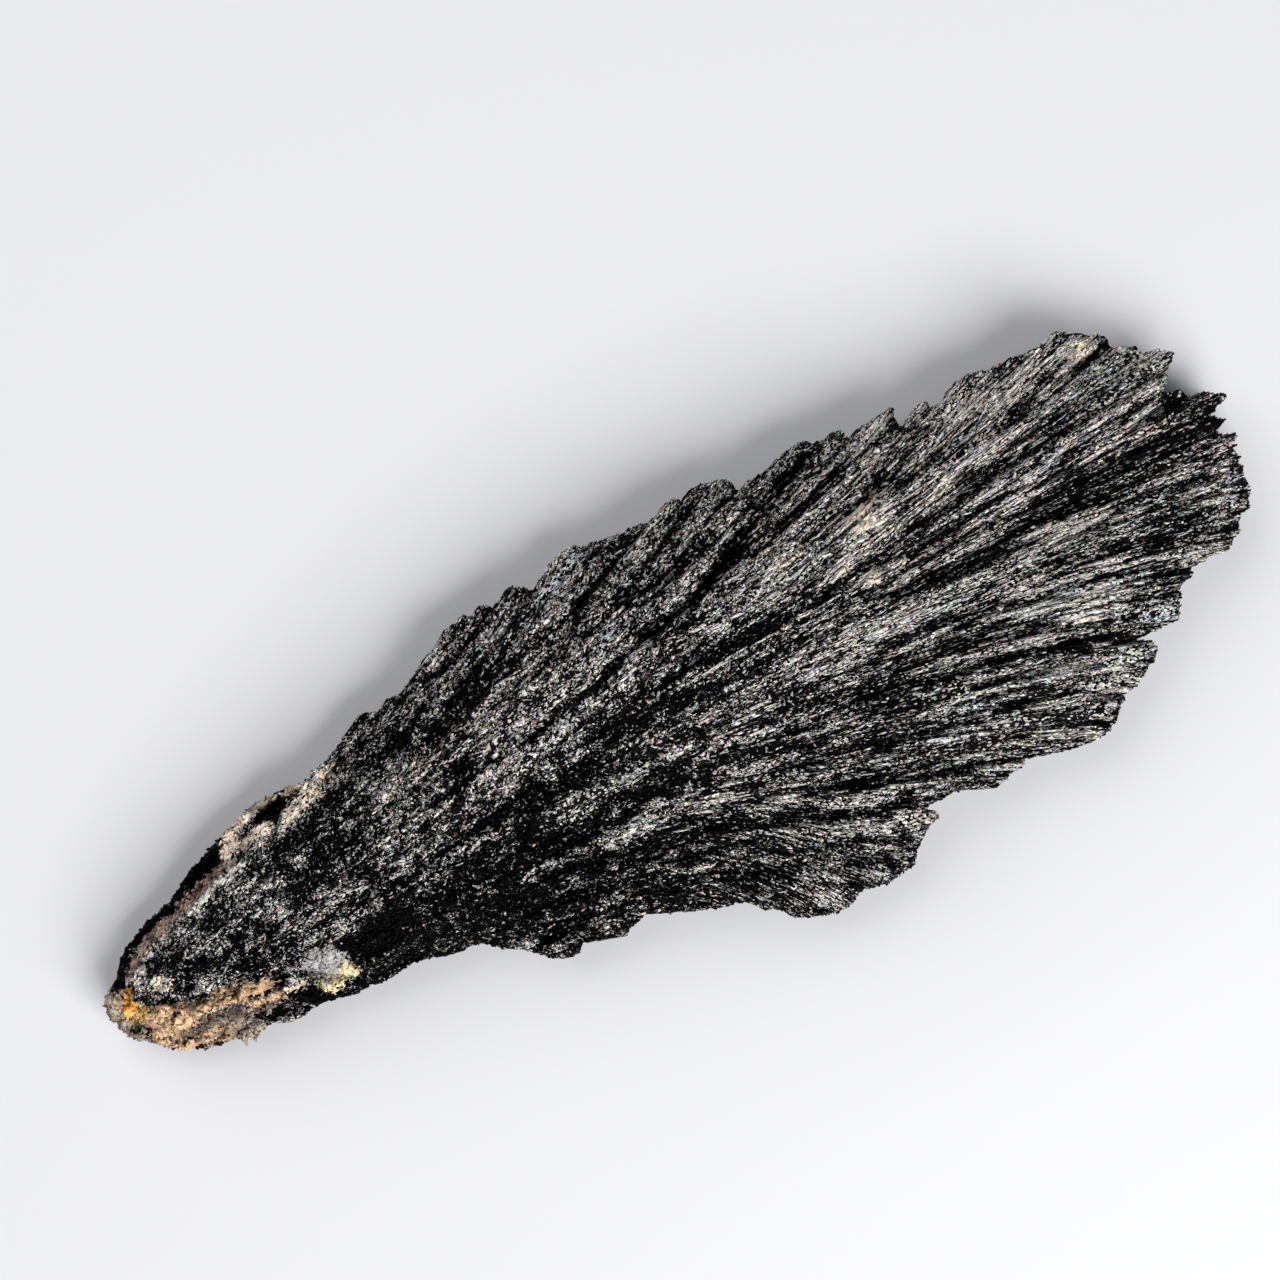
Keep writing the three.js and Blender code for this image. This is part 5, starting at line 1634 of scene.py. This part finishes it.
@dataclass(frozen=True)
class Finish:
    """A kyanite finish: black mineral under silvery flecks that each tilt their own way. The flecks are
    partly pale grains and partly painted glints: the specular level stays low, and the bright cells' colour
    gives the sparkle.

    The flecks are cells along the grain. A cell is bright if its own random number is below
    the cover that the piece gives, and fine streaks along the crystal change the cover.
    """

    name: str
    fleck: Pair
    streak: Pair
    tilt: float = 0.55
    # Strength of a fleck's colour, from dim to full; above 1 it is a painted glint.
    bright: Pair = (0.12, 1.1)
    variety: float = 0.34
    streak_gain: float = 0.9
    whole_from: float = 0.75
    soft_edge: Pair = (-0.02, 0.05)
    ridge_height: float = 0.0001
    dark: Triple = (0.0009, 0.0008, 0.0009)
    polished: float = 0.3
    matt: float = 0.6
    index: float = 1.6
    # Kept low, so that the glints come from the painted flecks rather than from reflection.
    specular: float = 0.025

    def make(self) -> Material:
        """Builds the node material and returns it."""
        material = bpy.data.materials.new(self.name)
        material.use_nodes = True
        tree = material.node_tree
        tint = add_node(tree, "Attribute", {}, attribute_name="tint")
        grain = add_node(tree, "Attribute", {}, attribute_name="grain")
        cells = add_node(tree, "TexVoronoi", {
            "Scale": 1.0, "Vector": self._stretched(tree, grain, self.fleck)})
        parts = add_node(tree, "SeparateColor", {"Color": cells.outputs["Color"]})
        noisy = add_node(tree, "TexNoise", {
            "Scale": 1.0, "Detail": 2.0, "Vector": self._stretched(tree, grain, self.streak)})
        streak = noisy.outputs["Fac"]
        gloss = add_node(tree, "MapRange", {
            "Value": parts.outputs["Blue"], "To Min": self.polished, "To Max": self.matt})
        feed(tree, tree.nodes["Principled BSDF"], {
            "IOR": self.index,
            "Specular IOR Level": self.specular,
            "Base Color": self._colour(tree, tint, cells, parts, streak),
            "Roughness": gloss.outputs["Result"],
            "Normal": self._tilted(tree, cells, streak),
        })
        return material

    def _stretched(self, tree: Tree, grain: Node, size: Pair) -> Socket:
        """The grain's places, counted in cells of a size along and across the crystal."""
        return add_node(tree, "Mapping", {
            "Scale": (1 / size[0], 1 / size[1], 1.0), "Vector": grain.outputs["Vector"],
        }).outputs["Vector"]

    def _colour(self, tree: Tree, tint: Node, cells: Node, parts: Node, streak: Socket) -> Socket:
        """The dark mineral, or a fleck's colour where the cover is over the cell's own number.

        Args:
            tree: the material's nodes.
            tint: the attribute with the flecks' colour and cover.
            cells: the cells that the flecks are.
            parts: each cell's three random numbers, for its cover, its strength and its gloss.
            streak: noise along the grain, which changes the cover.

        Returns:
            The colour's socket.
        """
        cover = computed(tree, "Math", "MULTIPLY_ADD", streak, self.streak_gain, -self.streak_gain / 2)
        cover = computed(tree, "Math", "ADD", cover, tint.outputs["Alpha"])
        margin = computed(tree, "Math", "SUBTRACT", cover, parts.outputs["Red"])
        bright = add_node(tree, "MapRange", {
            "Value": margin, "From Min": self.soft_edge[0], "From Max": self.soft_edge[1]})
        dim, full = self.bright
        strength = computed(tree, "Math", "MULTIPLY_ADD", parts.outputs["Green"], full - dim, dim)
        whole = computed(tree, "Math", "SUBTRACT", tint.outputs["Alpha"], self.whole_from)
        strength = computed(tree, "Math", "MAXIMUM", strength, whole)
        chance = add_node(tree, "TexWhiteNoise", {"Vector": cells.outputs["Position"]})
        hue = computed(
            tree, "VectorMath", "MULTIPLY_ADD",
            chance.outputs["Color"], (self.variety,) * 3, (1 - self.variety / 2,) * 3)
        varied = computed(tree, "VectorMath", "MULTIPLY", tint.outputs["Color"], hue)
        shaded = add_node(tree, "VectorMath", {0: varied, "Scale": strength}, operation="SCALE")
        mixed = add_node(tree, "Mix", {
            "A": (*self.dark, 1), "B": shaded.outputs["Vector"], "Factor": bright.outputs["Result"],
        }, data_type="RGBA")
        return mixed.outputs["Result"]

    def _tilted(self, tree: Tree, cells: Node, streak: Socket) -> Socket:
        """The surface's normal, ridged by the streaks and turned a little in each cell."""
        ridges = add_node(tree, "Bump", {
            "Strength": 0.5, "Distance": self.ridge_height, "Height": streak})
        turn = computed(
            tree, "VectorMath", "MULTIPLY_ADD",
            cells.outputs["Color"], (self.tilt,) * 3, (-self.tilt / 2,) * 3)
        total = computed(tree, "VectorMath", "ADD", ridges.outputs["Normal"], turn)
        return computed(tree, "VectorMath", "NORMALIZE", total)


@dataclass
class Studio:
    """The pale floor, the soft lights and the camera over the cluster."""

    view_width: float = 0.128
    lens: float = 85.0
    sensor: float = 36.0
    view_middle: Pair = (640.0, 640.0)
    rim_height: float = 0.0065
    floor_tone: Triple = (0.385, 0.385, 0.40)
    world_tone: Triple = (0.93, 0.95, 1.0)

    def axes(self) -> tuple[Vector, Vector]:
        """The view's right and up directions in the part's frame."""
        cos, sin = math.cos(GROWTH.tilt), math.sin(GROWTH.tilt)
        return Vector((cos, -sin, 0)), Vector((sin, cos, 0))

    def camera(self) -> None:
        """Looks straight down on the cluster, with the growth axis rising to the right."""
        data = bpy.data.cameras.new("camera")
        data.lens = self.lens
        data.sensor_width = self.sensor
        data.clip_start = 0.01
        camera = add_object("camera", data)
        right, up = self.axes()
        middle = GROWTH.place(np.array(self.view_middle))
        aim = GROWTH.metres(np.array([middle[0], middle[1], 0.0]))
        away = self.view_width * self.lens / self.sensor + self.rim_height
        turned = Matrix((right, up, Vector((0, 0, 1)))).transposed().to_4x4()
        turned.translation = Vector((aim[0], aim[1], away))
        camera.matrix_world = turned
        bpy.context.scene.camera = camera

    def floor(self) -> None:
        """A wide pale floor under the cluster."""
        half = 1.5
        mesh = bpy.data.meshes.new("floor")
        corners = [(-half, -half, 0), (half, -half, 0), (half, half, 0), (-half, half, 0)]
        mesh.from_pydata(corners, [], [(0, 1, 2, 3)])
        material = bpy.data.materials.new("pale_floor")
        material.use_nodes = True
        shader = material.node_tree.nodes["Principled BSDF"]
        feed(material.node_tree, shader, {"Base Color": (*self.floor_tone, 1), "Roughness": 0.6})
        mesh.materials.append(material)
        floor = add_object("floor", mesh)

    def lamp(self, name: str, right: float, up: float, high: float, size: float, power: float) -> None:
        """One soft square lamp, aimed at the cluster.

        Args:
            name: the lamp's name.
            right: its place along the view's right, in metres.
            up: its place along the view's up.
            high: its height.
            size: its side.
            power: its power, in watts.
        """
        data = bpy.data.lights.new(name, "AREA")
        data.size = size
        data.energy = power
        lamp = add_object(name, data)
        to_right, to_up = self.axes()
        lamp.location = to_right * right + to_up * up + Vector((0, 0, high))
        lamp.rotation_mode = "QUATERNION"
        lamp.rotation_quaternion = (-lamp.location).to_track_quat("-Z", "Y")

    def build(self) -> None:
        """Makes the camera, the floor, the lamps and a pale world."""
        self.camera()
        self.floor()
        self.lamp("key", 0.28, -0.35, 0.52, 0.50, 9.8)
        self.lamp("fill", -0.38, 0.36, 0.55, 0.70, 6.0)
        world = bpy.data.worlds.new("room")
        world.use_nodes = True
        background = world.node_tree.nodes["Background"]
        feed(world.node_tree, background, {"Color": (*self.world_tone, 1), "Strength": 0.25})
        bpy.context.scene.world = world
        bpy.context.scene.view_settings.view_transform = "Standard"


def main() -> None:
    """Builds the studio and the cluster, piece by piece, and logs each piece's triangles."""
    logging.basicConfig(level=logging.INFO, format="%(message)s")
    Studio().build()
    surface = Surface(Rim())
    palette = Palette(surface)
    skin = Finish("kyanite_body", (0.32, 0.24), (2.0, 0.4)).make()
    grain = Finish("kyanite_crystals", (0.27, 0.17), (1.6, 0.3), bright=(0.08, 1.32)).make()
    striped = Finish("kyanite_blades", (0.26, 0.16), (3.0, 0.3), tilt=0.45, bright=(0.15, 1.1)).make()
    fibrous = Finish("kyanite_fibres", (0.3, 0.15), (1.6, 0.22), tilt=0.5, bright=(0.08, 1.25)).make()
    root, middle, fan, tip = -66, -28, 12, 63
    pieces = [
        Core(surface, palette, skin).build(),
        RimBlades(surface, palette, grain).build(),
        Blades(surface, palette, striped).build(),
    ]
    coats = (
        ("root_crystals", grain, Side.FRONT, root, middle, 10000),
        ("middle_crystals", grain, Side.FRONT, middle, fan, 15500),
        ("fan_crystals", fibrous, Side.FRONT, fan, tip, 15500),
        ("back_crystals", grain, Side.BACK, root, tip, 13000),
    )
    for seed, (name, finish, side, start, end, count) in enumerate(coats, start=1):
        coat = Coat(surface, palette, finish, name, side, start, end, count, seed)
        pieces.append(coat.build())
    for piece in pieces:
        faces = sum(len(polygon.vertices) - 2 for polygon in piece.data.polygons)
        LOG.info("%s: %d triangles", piece.name, faces)


if __name__ == "__main__":
    main()
